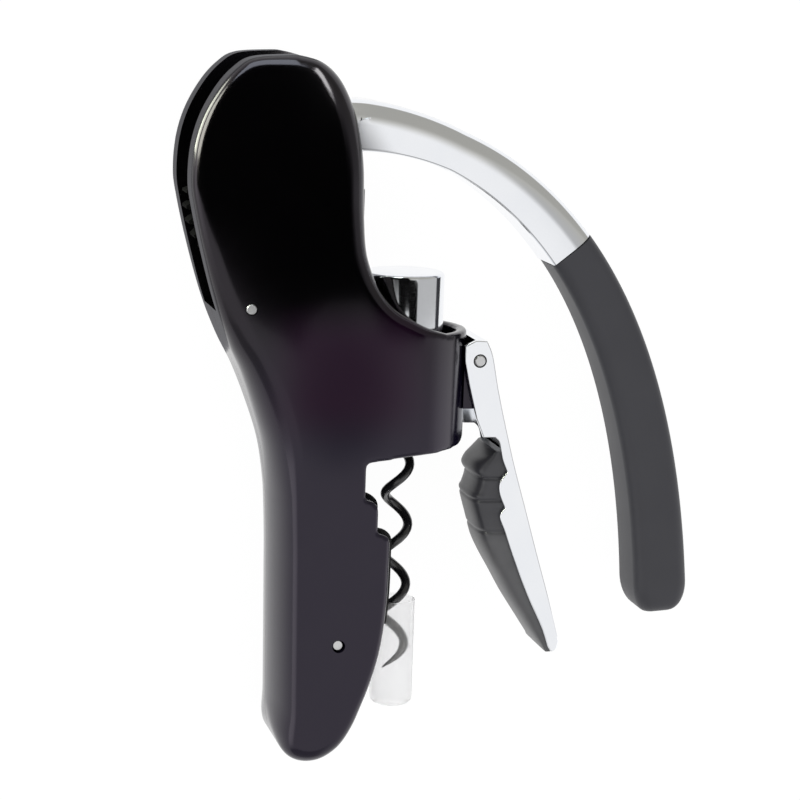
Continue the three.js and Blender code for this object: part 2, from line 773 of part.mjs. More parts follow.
// Root of the lever: a round hub that runs up into the arm, as one outline.
function leverRoot() {
  const shape = new THREE.Shape();
  const start = archCurve.getPoint(rootOverlapShare);
  const along = archCurve.getTangent(rootOverlapShare);
  const outward = new THREE.Vector2(-along.y, along.x);
  const half = archDepth(rootOverlapShare) / 2 + rootProud;
  const top = start.clone().addScaledVector(outward, half);
  const bottom = start.clone().addScaledVector(outward, -half);
  shape.moveTo(bottom.x, bottom.y);
  shape.lineTo(top.x, top.y);
  shape.quadraticCurveTo(
    -gearBack + shoulderBackShare * hubRadius,
    gearHeight + shoulderRiseShare * hubRadius,
    -gearBack + hubRadius * Math.cos(hubTopAngle),
    gearHeight + hubRadius * Math.sin(hubTopAngle),
  );
  shape.absarc(-gearBack, gearHeight, hubRadius, hubTopAngle, 2 * Math.PI + hubFrontAngle);
  return slab(shape, forkHalfWidth, 0, hubSegments);
}

function leverArm() {
  const arm = archLoft(0, gripStartShare, armSteps, (share) =>
    archRing(share, archDepth(share), armHalfWidth, armCornerShare),
  );
  const tang = archLoft(gripStartShare - rootOverlapShare, tangEndShare, tangSteps, (share) =>
    archRing(share, tangDepth, tangHalfWidth, armCornerShare),
  );
  const gearSpace = gearHalfWidth + runGap;
  const far = gearTipRadius + runGap;
  const gap = centredPin(-gearBack, gearHeight, far, gearSpace, tubeSegments);
  return cut(join(leverRoot(), arm, tang), gap, axleBore(forkHalfWidth), ...rivets(shaftGap));
}

function leverGrip() {
  const from = gripStartShare + runGap / archCurve.getLength();
  const endLength = gripEndRound / archCurve.getLength();
  const ringAt = (share) => archRing(share, archDepth(share), gripHalfWidthAt(share), gripCornerShare);
  const rings = [];
  for (let i = 0; i <= gripSteps; i += 1) rings.push(ringAt(from + ((1 - endLength - from) * i) / gripSteps));
  for (let i = 1; i <= filletSteps; i += 1) {
    const angle = (Math.PI / 2) * (i / (filletSteps + 1));
    const share = 1 - endLength + endLength * Math.sin(angle);
    const shrink = gripEndRound * (1 - Math.cos(angle));
    rings.push(archRing(share, archDepth(share), gripHalfWidthAt(share), gripCornerShare, shrink));
  }
  const socketEnd = tangEndShare + runGap / archCurve.getLength();
  const socket = archLoft(gripStartShare - rootOverlapShare, socketEnd, tangSteps, (share) =>
    archRing(share, tangDepth + 2 * runGap, tangHalfWidth + runGap, armCornerShare),
  );
  return cut(loft(rings), socket);
}

function gripHalfWidthAt(share) {
  const along = (share - gripStartShare) / (1 - gripStartShare);
  return THREE.MathUtils.lerp(armHalfWidth, gripHalfWidth, along);
}

// Clear plastic sleeve, open at the top, round at the bottom.
function tipSleeve() {
  const profile = [[0, sleeveBottom]];
  for (let i = 0; i <= filletSteps; i += 1) {
    const angle = (Math.PI / 2) * (i / filletSteps);
    const radius = sleeveRadius - sleeveBottomRound + sleeveBottomRound * Math.sin(angle);
    profile.push([radius, sleeveBottom + sleeveBottomRound * (1 - Math.cos(angle))]);
  }
  const inner = sleeveRadius - sleeveWall;
  const floor = sleeveBottom + sleeveBottomRound;
  profile.push([sleeveRadius, sleeveTop], [inner, sleeveTop], [inner, floor], [0, floor]);
  return turned(profile);
}

// Clamp outlines, measured from the hinge: its blade in shares of the clamp's length, and
// its head, which wraps the knuckles, in shares of the head's rise.
function clampPoint([frontShare, heightShare]) {
  return [hingeFront + frontShare * clampLength, hingeHeight + heightShare * clampLength];
}

function headPoint([frontShare, heightShare]) {
  return [hingeFront + frontShare * clampHeadRise, hingeHeight + heightShare * clampHeadRise];
}

const headInnerShares = [[-0.22, 1], [-0.77, 0.73], [-0.74, -0.03], [-0.49, -1.17]];
const headOuterShares = [[0.98, -1.39], [0.65, 0.22], [0.33, 0.96]];
const clampInnerShares = [[-0.003, -0.18], [0.021, -0.239], [0.058, -0.24]];
const clampScallopShares = [
  [[0.074, -0.259], [0.086, -0.311], [0.102, -0.35]],
  [[0.08, -0.382], [0.081, -0.42], [0.099, -0.464]],
  [[0.084, -0.492], [0.103, -0.542], [0.136, -0.631], [0.186, -0.75], [0.236, -0.853], [0.26, -0.919]],
];
const clampTipShares = [[0.272, -0.934], [0.288, -0.923], [0.294, -0.899]];
const clampOuterShares = [
  [0.252, -0.752], [0.207, -0.606], [0.167, -0.472], [0.127, -0.34], [0.093, -0.214],
];
const padInnerShares = [
  [0.031, -0.296], [0.02, -0.312], [0.018, -0.348], [0.029, -0.381], [0.02, -0.417], [0.013, -0.434],
  [0.022, -0.468], [0.04, -0.522], [0.062, -0.586], [0.092, -0.639], [0.13, -0.699], [0.18, -0.777],
  [0.236, -0.866], [0.266, -0.914],
];

// How far forward the clamp's outer face stands at a height near the hinge.
function clampWebAt(height) {
  const [low, high] = placed(headOuterShares, headPoint);
  const share = (height - low.y) / (high.y - low.y);
  return THREE.MathUtils.lerp(low.x, high.x, share);
}

function clampOuterLine() {
  return [...placed(clampOuterShares, clampPoint), ...placed(headOuterShares, headPoint)];
}

function clampOutline() {
  const shape = new THREE.Shape();
  const [start, ...inner] = [...placed(headInnerShares, headPoint), ...placed(clampInnerShares, clampPoint)];
  shape.moveTo(start.x, start.y);
  inner.forEach((point) => shape.lineTo(point.x, point.y));
  clampScallopShares.forEach((shares) => shape.splineThru(placed(shares, clampPoint)));
  shape.splineThru(placed(clampTipShares, clampPoint));
  shape.splineThru(clampOuterLine());
  return shape;
}

// Space between the side plates, open towards the bottle: the outline moved in by the wall.
function clampChannel(wall) {
  const shape = new THREE.Shape();
  const inset = clampOuterLine().map((point) => new THREE.Vector2(point.x - wall, point.y));
  const top = inset[inset.length - 1];
  const tip = clampPoint(clampTipShares[1]);
  const roof = top.y - wall;
  shape.moveTo(-collarRadius, roof);
  shape.lineTo(-collarRadius, tip[1] - overrun);
  shape.lineTo(tip[0] - 2 * wall, tip[1] - overrun);
  shape.lineTo(tip[0] - 2 * wall, tip[1]);
  shape.splineThru(inset.slice(0, -1));
  shape.lineTo(top.x, roof);
  return shape;
}

function hingeBore() {
  const radius = hingePinRadius + shaftGap;
  return centredPin(hingeFront, hingeHeight, radius, clampHalfWidth + overrun, hingeSegments);
}

function clampLever() {
  const plates = slab(clampOutline(), clampHalfWidth);
  const inside = clampHalfWidth - clampWall;
  const channel = slab(clampChannel(clampWall), inside);
  const top = hingeHeight + clampHeadRise + overrun;
  const collarSpace = box(0, collarRadius + 2 * runGap, -collarRadius, top, -inside, inside);
  return cut(plates, channel, collarSpace, hingeBore());
}

// Rubber pad in the clamp's channel, waved along its face and hollowed across for the neck.
function clampPad() {
  const shape = new THREE.Shape();
  const [face, ...waves] = placed(padInnerShares, clampPoint);
  const tip = waves[waves.length - 1];
  const webTop = clampPoint(clampOuterShares[clampOuterShares.length - 1]);
  const top = webTop[1] - padTopDrop;
  shape.moveTo(webTop[0], top);
  shape.lineTo(webTop[0] - padTopDepth, top);
  shape.lineTo(face.x, face.y);
  shape.splineThru(waves);
  shape.lineTo(tip.x + overrun, tip.y);
  shape.lineTo(tip.x + overrun, top);
  const half = clampHalfWidth - clampWall - runGap;
  const blank = slab(shape, half).intersect(slab(clampChannel(clampWall + runGap), half));
  const neck = new THREE.CylinderGeometry(padNeckRadius, padNeckRadius, 2 * clampLength, tubeSegments);
  neck.rotateZ(Math.atan2(tip.x - face.x, face.y - tip.y) * padNeckTiltShare);
  neck.translate(waves[1].x + padNeckReach - padNeckRadius, waves[1].y, 0);
  return cut(blank, solidOf(neck));
}

// Curved plate let into the front of the collar.
function bracketBlank(gap, halfAngle) {
  const inner = collarRadius - bracketThickness - gap;
  const shape = new THREE.Shape();
  shape.absarc(0, 0, collarRadius + gap, -halfAngle, halfAngle);
  shape.absarc(0, 0, inner, halfAngle, -halfAngle, true);
  return alongWorm(shape, bracketBottom - gap, bracketTop - bracketBottom + 2 * gap, bracketSegments);
}

function hingeBracket() {
  const plate = bracketBlank(0, bracketHalfAngle).translate([-runGap / 2, 0, 0]);
  const knuckles = [-1, 1].map((side) => {
    const inner = side * knuckleInner;
    const outer = side * knuckleOuter;
    const zMin = Math.min(inner, outer);
    const zMax = Math.max(inner, outer);
    const barrel = crossPin(hingeFront, hingeHeight, knuckleRadius, zMin, zMax);
    const base = collarRadius - bracketThickness;
    const foot = hingeHeight - knuckleRadius;
    const web = box(base, hingeFront, foot, foot + 2 * knuckleRadius, zMin, zMax);
    return join(barrel, web);
  });
  const coilRadius = springRadius() + springWireRadius + runGap;
  const coilSpace = centredPin(hingeFront, hingeHeight, coilRadius, knuckleInner);
  const legBack = hingeFront - springRadius() - springWireRadius - runGap;
  const legSpace = springWireRadius + runGap;
  const groove = box(
    legBack,
    hingeFront,
    hingeHeight - springLegDrop - runGap,
    hingeHeight,
    -springHalfLength() - legSpace,
    -springHalfLength() + legSpace,
  );
  const screws = bracketScrewHeights().map((height) => bracketScrew(height, shaftGap));
  return cut(join(plate, ...knuckles), coilSpace, groove, hingeBore(), ...screws);
}

function clampHingePin() {
  return centredPin(hingeFront, hingeHeight, hingePinRadius, clampHalfWidth + runGap, hingeSegments);
}

function bracketScrewHeights() {
  return [bracketScrewTop, bracketScrewTop - bracketScrewSpacing];
}

// Screw through the bracket into the collar's wall, its head outside.
function bracketScrew(height, gap) {
  const geometry = new THREE.LatheGeometry(
    [
      [0, boreRadius + runGap - gap],
      [bracketScrewRadius + gap, boreRadius + runGap - gap],
      [bracketScrewRadius + gap, collarRadius - bracketScrewHeadHeight - gap],
      [bracketScrewHead + gap, collarRadius - runGap],
      [bracketScrewHead + gap, collarRadius + gap],
      [0, collarRadius + gap],
    ].map(([radius, along]) => new THREE.Vector2(radius, along)),
    screwSegments,
  );
  geometry.rotateZ(-Math.PI / 2);
  return solidOf(geometry.translate(0, height, 0));
}

function springRadius() {
  return hingePinRadius + springPinGap + springWireRadius;
}

function springHalfLength() {
  return knuckleInner - runGap - springWireRadius;
}

// Torsion spring round the hinge pin: one leg lies in the bracket's groove, the other
// on the inside of the clamp.
function clampSpring() {
  const radius = springRadius();
  const half = springHalfLength();
  const steps = springTurns * springStepsPerTurn;
  const centres = [new THREE.Vector3(hingeFront - radius, hingeHeight - springLegDrop, -half)];
  for (let i = 0; i <= steps; i += 1) {
    const angle = Math.PI - (i / springStepsPerTurn) * 2 * Math.PI;
    const x = hingeFront + radius * Math.cos(angle);
    const y = hingeHeight + radius * Math.sin(angle);
    centres.push(new THREE.Vector3(x, y, -half + (2 * half * i) / steps));
  }
  const legEndHeight = hingeHeight - springLegDrop;
  const webFront = clampWebAt(legEndHeight) - clampWall;
  centres.push(new THREE.Vector3(webFront - runGap - springWireRadius, legEndHeight, half));
  const gap = leastSelfGap(centres, springWireRadius);
  console.log("clamp spring: least gap to itself " + gap.toFixed(2) + " mm");
  const outward = (centre) => new THREE.Vector3(centre.x - hingeFront, centre.y - hingeHeight, 0);
  return wire(centres, () => springWireRadius, springSides, outward);
}

const corkscrew = new THREE.Group();

function add(name, solid, material) {
  const mesh = new THREE.Mesh(geometryOf(solid), material);
  mesh.name = name;
  corkscrew.add(mesh);
}

const wholeHousing = housing();
add("left_housing_shell", housingShell(wholeHousing, 1), blackPlastic);
add("right_housing_shell", housingShell(wholeHousing, -1), blackPlastic);
add("neck_liner", neckLiner(), rubber);
add("nut_carrier", nutCarrier(), blackPlastic);
add("worm_nut", wormNut(), brass);
add("lip_seat_ring", lipSeatRing(), rubber);
add("upper_cross_pin", centredPin(-upperPinBack, upperPinHeight, pinRadius, bodyHalfWidth), steel);
const lowerPinHalfLength = bodyHalfWidth - lowerPinRecess;
add("lower_cross_pin", centredPin(-lowerPinBack, -lowerPinDrop, pinRadius, lowerPinHalfLength), steel);
add("lever_axle", centredPin(-gearBack, gearHeight, axleRadius, axleHalfLength, roundSegments), steel);
add("left_axle_bush", axleBush(1), nylon);
add("right_axle_bush", axleBush(-1), nylon);
add("hinge_bracket", hingeBracket(), blackPlastic);
add("clamp_hinge_pin", clampHingePin(), steel);
add("clamp_spring", clampSpring(), steel);
bracketScrewHeights().forEach((height, i) => add("bracket_screw_" + (i + 1), bracketScrew(height, 0), steel));
add("lever_arm", leverArm(), chrome);
add("sector_gear", sectorGear(), steel);
rivets(0).forEach((rivet, i) => add("gear_rivet_" + (i + 1), rivet, steel));
add("lever_grip", leverGrip(), greyGrip);
add("cap_tube", capTube(), chrome);
add("slide_block", slideBlock(), blackPlastic);
add("rack_bar", rackBar(), steel);
rackPinHeights().forEach((height, i) => add("rack_pin_" + (i + 1), rackPinAt(height, 0), steel));
add("thrust_washer", thrustWasher(), nylon);
add("retaining_ring", retainingRing(), steel);
add("worm", worm(), blackWire);
add("tip_sleeve", tipSleeve(), clearPlastic);
add("clamp_lever", clampLever(), chrome);
add("clamp_pad", clampPad(), rubber);

const bounds = new THREE.Box3().setFromObject(corkscrew);
const centre = bounds.getCenter(new THREE.Vector3());
corkscrew.children.forEach((mesh) => mesh.position.set(-centre.x, -centre.y, -bounds.min.z));
console.log("offset " + [-centre.x, -centre.y, -bounds.min.z].map((value) => value.toFixed(3)).join(" "));

export default corkscrew;
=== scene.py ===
import math

import bmesh
import bpy
import numpy as np
from mathutils import Matrix, Vector


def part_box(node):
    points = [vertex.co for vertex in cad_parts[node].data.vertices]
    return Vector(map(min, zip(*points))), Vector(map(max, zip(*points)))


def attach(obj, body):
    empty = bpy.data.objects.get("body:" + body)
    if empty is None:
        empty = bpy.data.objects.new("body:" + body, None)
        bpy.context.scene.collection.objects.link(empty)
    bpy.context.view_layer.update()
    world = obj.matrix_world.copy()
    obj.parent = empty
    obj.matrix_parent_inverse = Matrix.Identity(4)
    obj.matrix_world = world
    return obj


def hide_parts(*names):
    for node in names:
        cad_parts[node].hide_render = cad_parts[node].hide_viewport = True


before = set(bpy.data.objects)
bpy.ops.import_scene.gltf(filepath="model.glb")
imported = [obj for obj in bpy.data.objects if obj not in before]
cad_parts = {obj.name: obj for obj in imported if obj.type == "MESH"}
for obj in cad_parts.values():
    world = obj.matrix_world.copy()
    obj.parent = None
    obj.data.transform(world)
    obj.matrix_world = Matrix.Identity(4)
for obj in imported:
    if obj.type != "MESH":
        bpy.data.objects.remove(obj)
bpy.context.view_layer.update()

# Camera. The tool lies on its side and is seen from above, a little from its back and
# its head, with a long lens. Places are in millimetres from the point on the worm's
# axis that the drawing counts heights from, and are turned into the frame's metres.
MM = 0.001
CAP_TOP = 36.2
cap_low, cap_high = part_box("cap_tube")
ORIGIN = np.array([(cap_low.x + cap_high.x) / 2, cap_high.y - CAP_TOP * MM, (cap_low.z + cap_high.z) / 2])


def here(points):
    return np.asarray(points, float) * MM + ORIGIN


VIEW_DISTANCE = 670
VIEW_SIDE = -0.265
VIEW_HEADWARD = 0.2
VIEW_ROLL = math.radians(1.9)
PIXELS_PER_MM = 3.6
IMAGE_WIDTH = 800

scene = bpy.context.scene
scene.view_settings.view_transform = "Standard"
camera_data = bpy.data.cameras.new("camera")
camera_data.sensor_width = 36
camera_data.lens = camera_data.sensor_width * PIXELS_PER_MM * VIEW_DISTANCE / IMAGE_WIDTH
camera_data.clip_end = 10
camera = bpy.data.objects.new("camera", camera_data)
scene.collection.objects.link(camera)
scene.camera = camera
backward = Vector((VIEW_SIDE, VIEW_HEADWARD, 1)).normalized()
level_up = (Vector((0, 1, 0)) - backward * backward.y).normalized()
right = level_up.cross(backward) * math.cos(VIEW_ROLL) + level_up * math.sin(VIEW_ROLL)
turn = Matrix((right, backward.cross(right), backward)).transposed().to_4x4()
camera.matrix_world = Matrix.Translation(Vector(here(backward * VIEW_DISTANCE))) @ turn


# Studio. A white room that the metal mirrors, with a black flag, two dark veils and three
# bright panels over the tool, and a dark and a bright card on the pale floor, which keeps
# a faint shadow. None of it belongs to the tool.
class Shade:
    """A shader socket in a node tree. Sums, differences and products make maths nodes."""

    def __init__(self, tree, socket=None):
        self.tree = tree
        self.socket = socket

    def node(self, kind, settings=None, inputs=None, output=0):
        """Any node: its settings first, then a value or a link for each named socket."""
        made = self.tree.nodes.new(kind)
        for key, value in (settings or {}).items():
            setattr(made, key, value)
        for key, value in (inputs or {}).items():
            if isinstance(value, Shade):
                self.tree.links.new(value.socket, made.inputs[key])
            else:
                made.inputs[key].default_value = value
        return Shade(self.tree, made.outputs[output] if made.outputs else None)

    def sibling(self, name):
        return Shade(self.tree, self.socket.node.outputs[name])

    def math(self, operation, first, second):
        return self.node("ShaderNodeMath", {"operation": operation}, {0: first, 1: second})

    def __add__(self, other):
        return self.math("ADD", self, other)

    def __radd__(self, other):
        return self.math("ADD", other, self)

    def __sub__(self, other):
        return self.math("SUBTRACT", self, other)

    def __rsub__(self, other):
        return self.math("SUBTRACT", other, self)

    def __mul__(self, other):
        return self.math("MULTIPLY", self, other)

    def __rmul__(self, other):
        return self.math("MULTIPLY", other, self)

    def place(self, kind="Object"):
        """Across part of a place, or of a direction in the room. Its siblings are Y and Z."""
        return self.node("ShaderNodeSeparateXYZ", {}, {0: self.node("ShaderNodeTexCoord", output=kind)}, "X")

    def step(self, low, high):
        """0 below one level, 1 above another, smooth between."""
        return self.node("ShaderNodeMapRange", {"interpolation_type": "SMOOTHSTEP"},
                         {"Value": self, "From Min": low, "From Max": high})

    def blend(self, first, second):
        """Colour between two, by this share."""
        return self.node("ShaderNodeMix", {"data_type": "RGBA"}, {0: self, 6: first, 7: second}, 2)


world = bpy.data.worlds.new("studio")
scene.world = world
world.use_nodes = True
world.node_tree.nodes.clear()
room = Shade(world.node_tree)
plain_ray = room.node("ShaderNodeLightPath", output="Is Camera Ray")
mirror_ray = plain_ray.sibling("Is Glossy Ray")
clear_ray = plain_ray.sibling("Is Transmission Ray")
frontward = room.place("Generated")
headward, overhead = frontward.sibling("Y"), frontward.sibling("Z")
MIRRORED_ROOM = 0.95
MIRRORED_HEAD_SIDE = 0.4
MIRRORED_FRONT = 0.48
MIRRORED_BACK = 1.9
MIRRORED_LOW_FRONT = 1.7
MIRRORED_FOOT_LOSS = 0.5
AMBIENT = 0.85
HEAD_SIDE_TINT = (1, 0.98, 0.9, 1)
front_share = (MIRRORED_ROOM - MIRRORED_FRONT) / (MIRRORED_ROOM - MIRRORED_HEAD_SIDE)

# Each step is a soft edge of a tone in the room, in parts of a direction of length one.
head_side = headward.step(-0.05, 0.35) * overhead.step(0.02, 0.12)
foot_side = headward.step(-0.5, -0.62) * overhead.step(0.04, 0.1) * frontward.step(0.5, 0.3)
front_side = headward.step(-0.15, -0.1) * frontward.step(0.31, 0.48)
grey_share = room.math("MAXIMUM", head_side, front_side * front_share)
back_side = frontward.step(-0.55, -0.95) * headward.step(-0.5, -0.3)
low_front = frontward.step(0.6, 0.95) * headward.step(-0.12, -0.17)

mirrored_level = MIRRORED_ROOM - grey_share * (MIRRORED_ROOM - MIRRORED_HEAD_SIDE)
mirrored_level = mirrored_level + back_side * (MIRRORED_BACK - MIRRORED_ROOM)
mirrored_level = mirrored_level - foot_side * MIRRORED_FOOT_LOSS
mirrored_level = mirrored_level + low_front * (MIRRORED_LOW_FRONT - MIRRORED_ROOM)
unseen = mirror_ray * mirrored_level + (1 - mirror_ray) * AMBIENT
seen = plain_ray.math("MAXIMUM", plain_ray, clear_ray)
tone = (mirror_ray * head_side).blend((1, 1, 1, 1), HEAD_SIDE_TINT)
level = seen + (1 - seen) * unseen
background = room.node("ShaderNodeBackground", {}, {"Color": tone, "Strength": level})
room.node("ShaderNodeOutputWorld", {}, {"Surface": background})


def surfaced(thing, name, shading):
    """Gives an object a new material, made by a function of its node tree."""
    material = bpy.data.materials.new(name)
    material.use_nodes = True
    material.node_tree.nodes.clear()
    tree = Shade(material.node_tree)
    tree.node("ShaderNodeOutputMaterial", {}, {"Surface": shading(tree)})
    thing.data.materials.clear()
    thing.data.materials.append(material)
    return thing


def grey(level):
    return (level, level, level, 1)


def card(name, height, corners, shading):
    """Flat card that only mirrors see, at a height over the worm's axis."""
    mesh = bpy.data.meshes.new(name)
    places = [tuple(here((x, y, height))) for x, y in corners]
    mesh.from_pydata(places, [], [tuple(range(len(corners)))])
    made = bpy.data.objects.new(name, mesh)
    scene.collection.objects.link(made)
    made.visible_camera = made.visible_diffuse = made.visible_shadow = made.visible_transmission = False
    surfaced(made, name, shading)


CARD_HEIGHT, LOW_CARD_HEIGHT, FLOOR_CARD_HEIGHT = 80, 32, -17.5
FLAG = [
    (-190, 42), (-47, 36), (-38.7, 21.5), (-30.5, 14), (-23.6, 10.2), (-19, 5), (-17.4, 11), (-15.7, 16),
    (-10.5, 21), (0, 21), (8, 9), (34, 9), (34, 30), (2, 40), (-1, 170), (-190, 170),
]
PANEL = [
    (-24, 97), (-22, 91), (-21, 88), (-20, 85), (-17.5, 84), (-15, 90), (-13, 100), (-14, 112), (-18, 106),
]
TOP_PANEL = [(-64, 100), (-27, 101), (-10, 200), (-90, 200)]
FLOOR_PANEL = [(-86, 72), (-86, 95), (-110, 150), (-300, 260), (-300, 72)]
FLOOR_FLAG = [(-84, 10), (-14, 10), (-14, 96), (-10, 125), (-84, 125)]
BACK_PANEL = [
    (-118, 70), (-116, 84), (-113, 102), (-128, 138), (-150, 170),
    (-420, 300), (-500, 180), (-420, 90), (-220, 72),
]
COOL_LIGHT, GREEN_LIGHT, YELLOW_LIGHT = (0.85, 0.97, 1, 1), (0.94, 1, 0.9, 1), (0.94, 1, 0.8, 1)


def lit(level, colour):
    return lambda tree: tree.node("ShaderNodeEmission", {}, {"Color": colour, "Strength": level})


def gauze(name, height, middle, half_width, half_height, share):
    """Dark oval veil, thinning out towards its edge."""
    def shading(tree):
        x, y, _ = here((*middle, 0))
        across = tree.place()
        along = (across.sibling("Y") - y) * (1 / (half_height * MM))
        across = (across - x) * (1 / (half_width * MM))
        inside = (across * across + along * along).step(1, 0.1)
        dark = tree.node("ShaderNodeEmission", {}, {"Strength": 0.0})
        clear = tree.node("ShaderNodeBsdfTransparent")
        return tree.node("ShaderNodeMixShader", {}, {0: inside * share, 1: clear, 2: dark})

    signs = ((-1, -1), (1, -1), (1, 1), (-1, 1))
    corners = [(middle[0] + a * half_width, middle[1] + b * half_height) for a, b in signs]
    card(name, height, corners, shading)


card("flag", CARD_HEIGHT, FLAG, lit(0.0, grey(0)))
card("panel", LOW_CARD_HEIGHT, PANEL, lit(14, GREEN_LIGHT))
card("top_panel", LOW_CARD_HEIGHT, TOP_PANEL, lit(4.5, COOL_LIGHT))
card("back_panel", CARD_HEIGHT - 1, BACK_PANEL, lit(14, YELLOW_LIGHT))
card("floor_flag", FLOOR_CARD_HEIGHT - 0.1, FLOOR_FLAG, lit(0.3, (0.95, 0.95, 1, 1)))
card("floor_panel", FLOOR_CARD_HEIGHT, FLOOR_PANEL, lit(13, YELLOW_LIGHT))
gauze("veil", CARD_HEIGHT + 1, middle=(-5, -6), half_width=20, half_height=29, share=0.62)
gauze("side_veil", LOW_CARD_HEIGHT, middle=(-22, 52), half_width=26, half_height=36, share=1)

FLOOR_SIZE, FLOOR_DROP = 4, 0.2
FLOOR_TONE, FLOOR_LEVEL, FLOOR_GLOW_SHARE = 0.9, 1.04, 0.93


def floor_paper(tree):
    ray = tree.node("ShaderNodeLightPath", output="Is Camera Ray")
    indirect = tree.math("MAXIMUM", ray.sibling("Is Glossy Ray"), ray.sibling("Is Transmission Ray"))
    matt = tree.node("ShaderNodeBsdfDiffuse", {}, {"Color": grey(FLOOR_TONE)})
    glow = tree.node("ShaderNodeEmission", {}, {"Color": grey(1), "Strength": FLOOR_LEVEL})
    shine = tree.math("MAXIMUM", ray, indirect) * FLOOR_GLOW_SHARE
    return tree.node("ShaderNodeMixShader", {}, {0: shine, 1: matt, 2: glow})


bpy.ops.mesh.primitive_plane_add(size=FLOOR_SIZE, location=(0, 0, -FLOOR_DROP * MM))
floor = bpy.context.object
floor.name = "floor"
surfaced(floor, "floor_paper", floor_paper)


# Body shells. Two mirrored halves moulded in black plastic: a head of two cheeks, the
# collar that takes the bottle's lip, and a leg that is a channel for its neck. They meet
# on the mid-plane and are held by two steel pins.
def curve_through(start, points, steps=8):
    """Smooth curve from a start through points, without the start itself."""
    chain = [np.array(p, float) for p in (start, start, *points, points[-1])]
    made = []
    for a, b, c, d in zip(chain, chain[1:], chain[2:], chain[3:]):
        leaving, arriving = (c - a) / 2, (d - b) / 2
        for i in range(1, steps + 1):
            t = i / steps
            made.append((2 * t**3 - 3 * t**2 + 1) * b + (t**3 - 2 * t**2 + t) * leaving
                        + (3 * t**2 - 2 * t**3) * c + (t**3 - t**2) * arriving)
    return made


def corner_to(start, control, end):
    """Rounded corner between two points, drawn towards a control point."""
    start, control, end = (np.array(p, float) for p in (start, control, end))
    return [(1 - t)**2 * start + 2 * t * (1 - t) * control + t**2 * end for t in np.linspace(0, 1, 9)[1:]]


def between(places, table):
    """Value at each place along a table of places and values."""
    return np.interp(places, *zip(*table))


def smoothed(thing, degrees=35):
    thing.data.shade_smooth()
    thing.data.set_sharp_from_angle(angle=math.radians(degrees))
    return thing


def solid(name, points, faces, degrees=35):
    """Object of points in millimetres, its faces turned outwards, smooth but at edges."""
    mesh = bpy.data.meshes.new(name)
    mesh.from_pydata([tuple(p) for p in here(points)], [], faces)
    shape = bmesh.new()
    shape.from_mesh(mesh)
    bmesh.ops.recalc_face_normals(shape, faces=shape.faces)
    shape.to_mesh(mesh)
    shape.free()
    made = bpy.data.objects.new(name, mesh)
    scene.collection.objects.link(made)
    return smoothed(made, degrees)


def skin(name, rings, degrees=35, closed=False):
    """Skin over rings of as many points each, capped at both ends or closed on itself."""
    count, last = len(rings[0]), len(rings) - 1
    faces = []
    for i in range(len(rings) if closed else last):
        below, above = i * count, (i + 1) % len(rings) * count
        for j in range(count):
            k = (j + 1) % count
            faces.append((below + j, below + k, above + k, above + j))
    if not closed:
        faces += [tuple(range(count)), tuple(range(last * count, (last + 1) * count))]
    return solid(name, [point for ring in rings for point in ring], faces, degrees)


SWELL_END, SWELL_POWER = 0.1, 0.14


def slab(name, outline, low, high, radii=0.0, both=False, steps=6, swell=0.0):
    """Outline in X and Y raised along Z, its upper edge or both rounded. Swell, 0 to 1,
    stretches the rounding over the whole height."""
    outline = np.asarray(outline, float)
    radii = np.broadcast_to(np.asarray(radii, float), len(outline))
    reach, power = radii + (high - SWELL_END - radii) * swell, 1 + swell * SWELL_POWER
    rings = [np.column_stack([outline, np.full(len(outline), low)])]
    if radii.max() > 0:
        after = np.roll(outline, -1, 0)
        along = after - np.roll(outline, 1, 0)
        along /= np.linalg.norm(along, axis=1)[:, None] + 1e-9
        inward = np.stack([-along[:, 1], along[:, 0]], 1)
        inward *= math.copysign(1, np.sum(outline[:, 0] * after[:, 1] - after[:, 0] * outline[:, 1]))

        def rounded(i):
            angle = math.pi / 2 * i / steps
            flat = outline + inward * (radii * (1 - math.cos(angle)**power))[:, None]
            return flat, reach * (1 - math.sin(angle)**power)

        edge = [rounded(i) for i in range(steps + 1)]
        if both:
            rings = [np.column_stack([flat, low + drop]) for flat, drop in reversed(edge)]
        rings += [np.column_stack([flat, high - drop]) for flat, drop in edge]
    else:
        rings.append(np.column_stack([outline, np.full(len(outline), high)]))
    return skin(name, rings)


def turned(name, profile, steps=96):
    """Solid of revolution about the worm's axis, from radius and height pairs."""
    angles = [2 * math.pi * i / steps for i in range(steps)]
    rings = [[(r * math.cos(a), y, -r * math.sin(a)) for r, y in profile] for a in angles]
    return skin(name, rings, closed=True)


PIN_SIDES = 48


def pin(name, x, y, low, high, radius, dome=0.0):
    """Round pin along Z, its ends bevelled by a dome."""
    levels = [(low, radius - dome), (low + dome, radius), (high - dome, radius), (high, radius - dome)]
    if not dome:
        levels = [(low, radius), (high, radius)]
    angles = [2 * math.pi * i / PIN_SIDES for i in range(PIN_SIDES)]
    return skin(name, [[(x + r * math.cos(a), y + r * math.sin(a), z) for a in angles] for z, r in levels])


def block(name, low, high):
    (x0, y0, z0), (x1, y1, z1) = low, high
    return skin(name, [[(x0, y0, z), (x1, y0, z), (x1, y1, z), (x0, y1, z)] for z in (z0, z1)])


def settled(thing):
    """Fixes an object's modifiers into its mesh."""
    old = thing.data
    graph = bpy.context.evaluated_depsgraph_get()
    thing.data = bpy.data.meshes.new_from_object(thing.evaluated_get(graph))
    thing.modifiers.clear()
    bpy.data.meshes.remove(old)
    return thing


def evened(thing):
    """Keeps large flat faces flat in shading, up to their rounded edges."""
    even = thing.modifiers.new("even", "WEIGHTED_NORMAL")
    even.keep_sharp = True
    even.weight = 80
    return settled(thing)


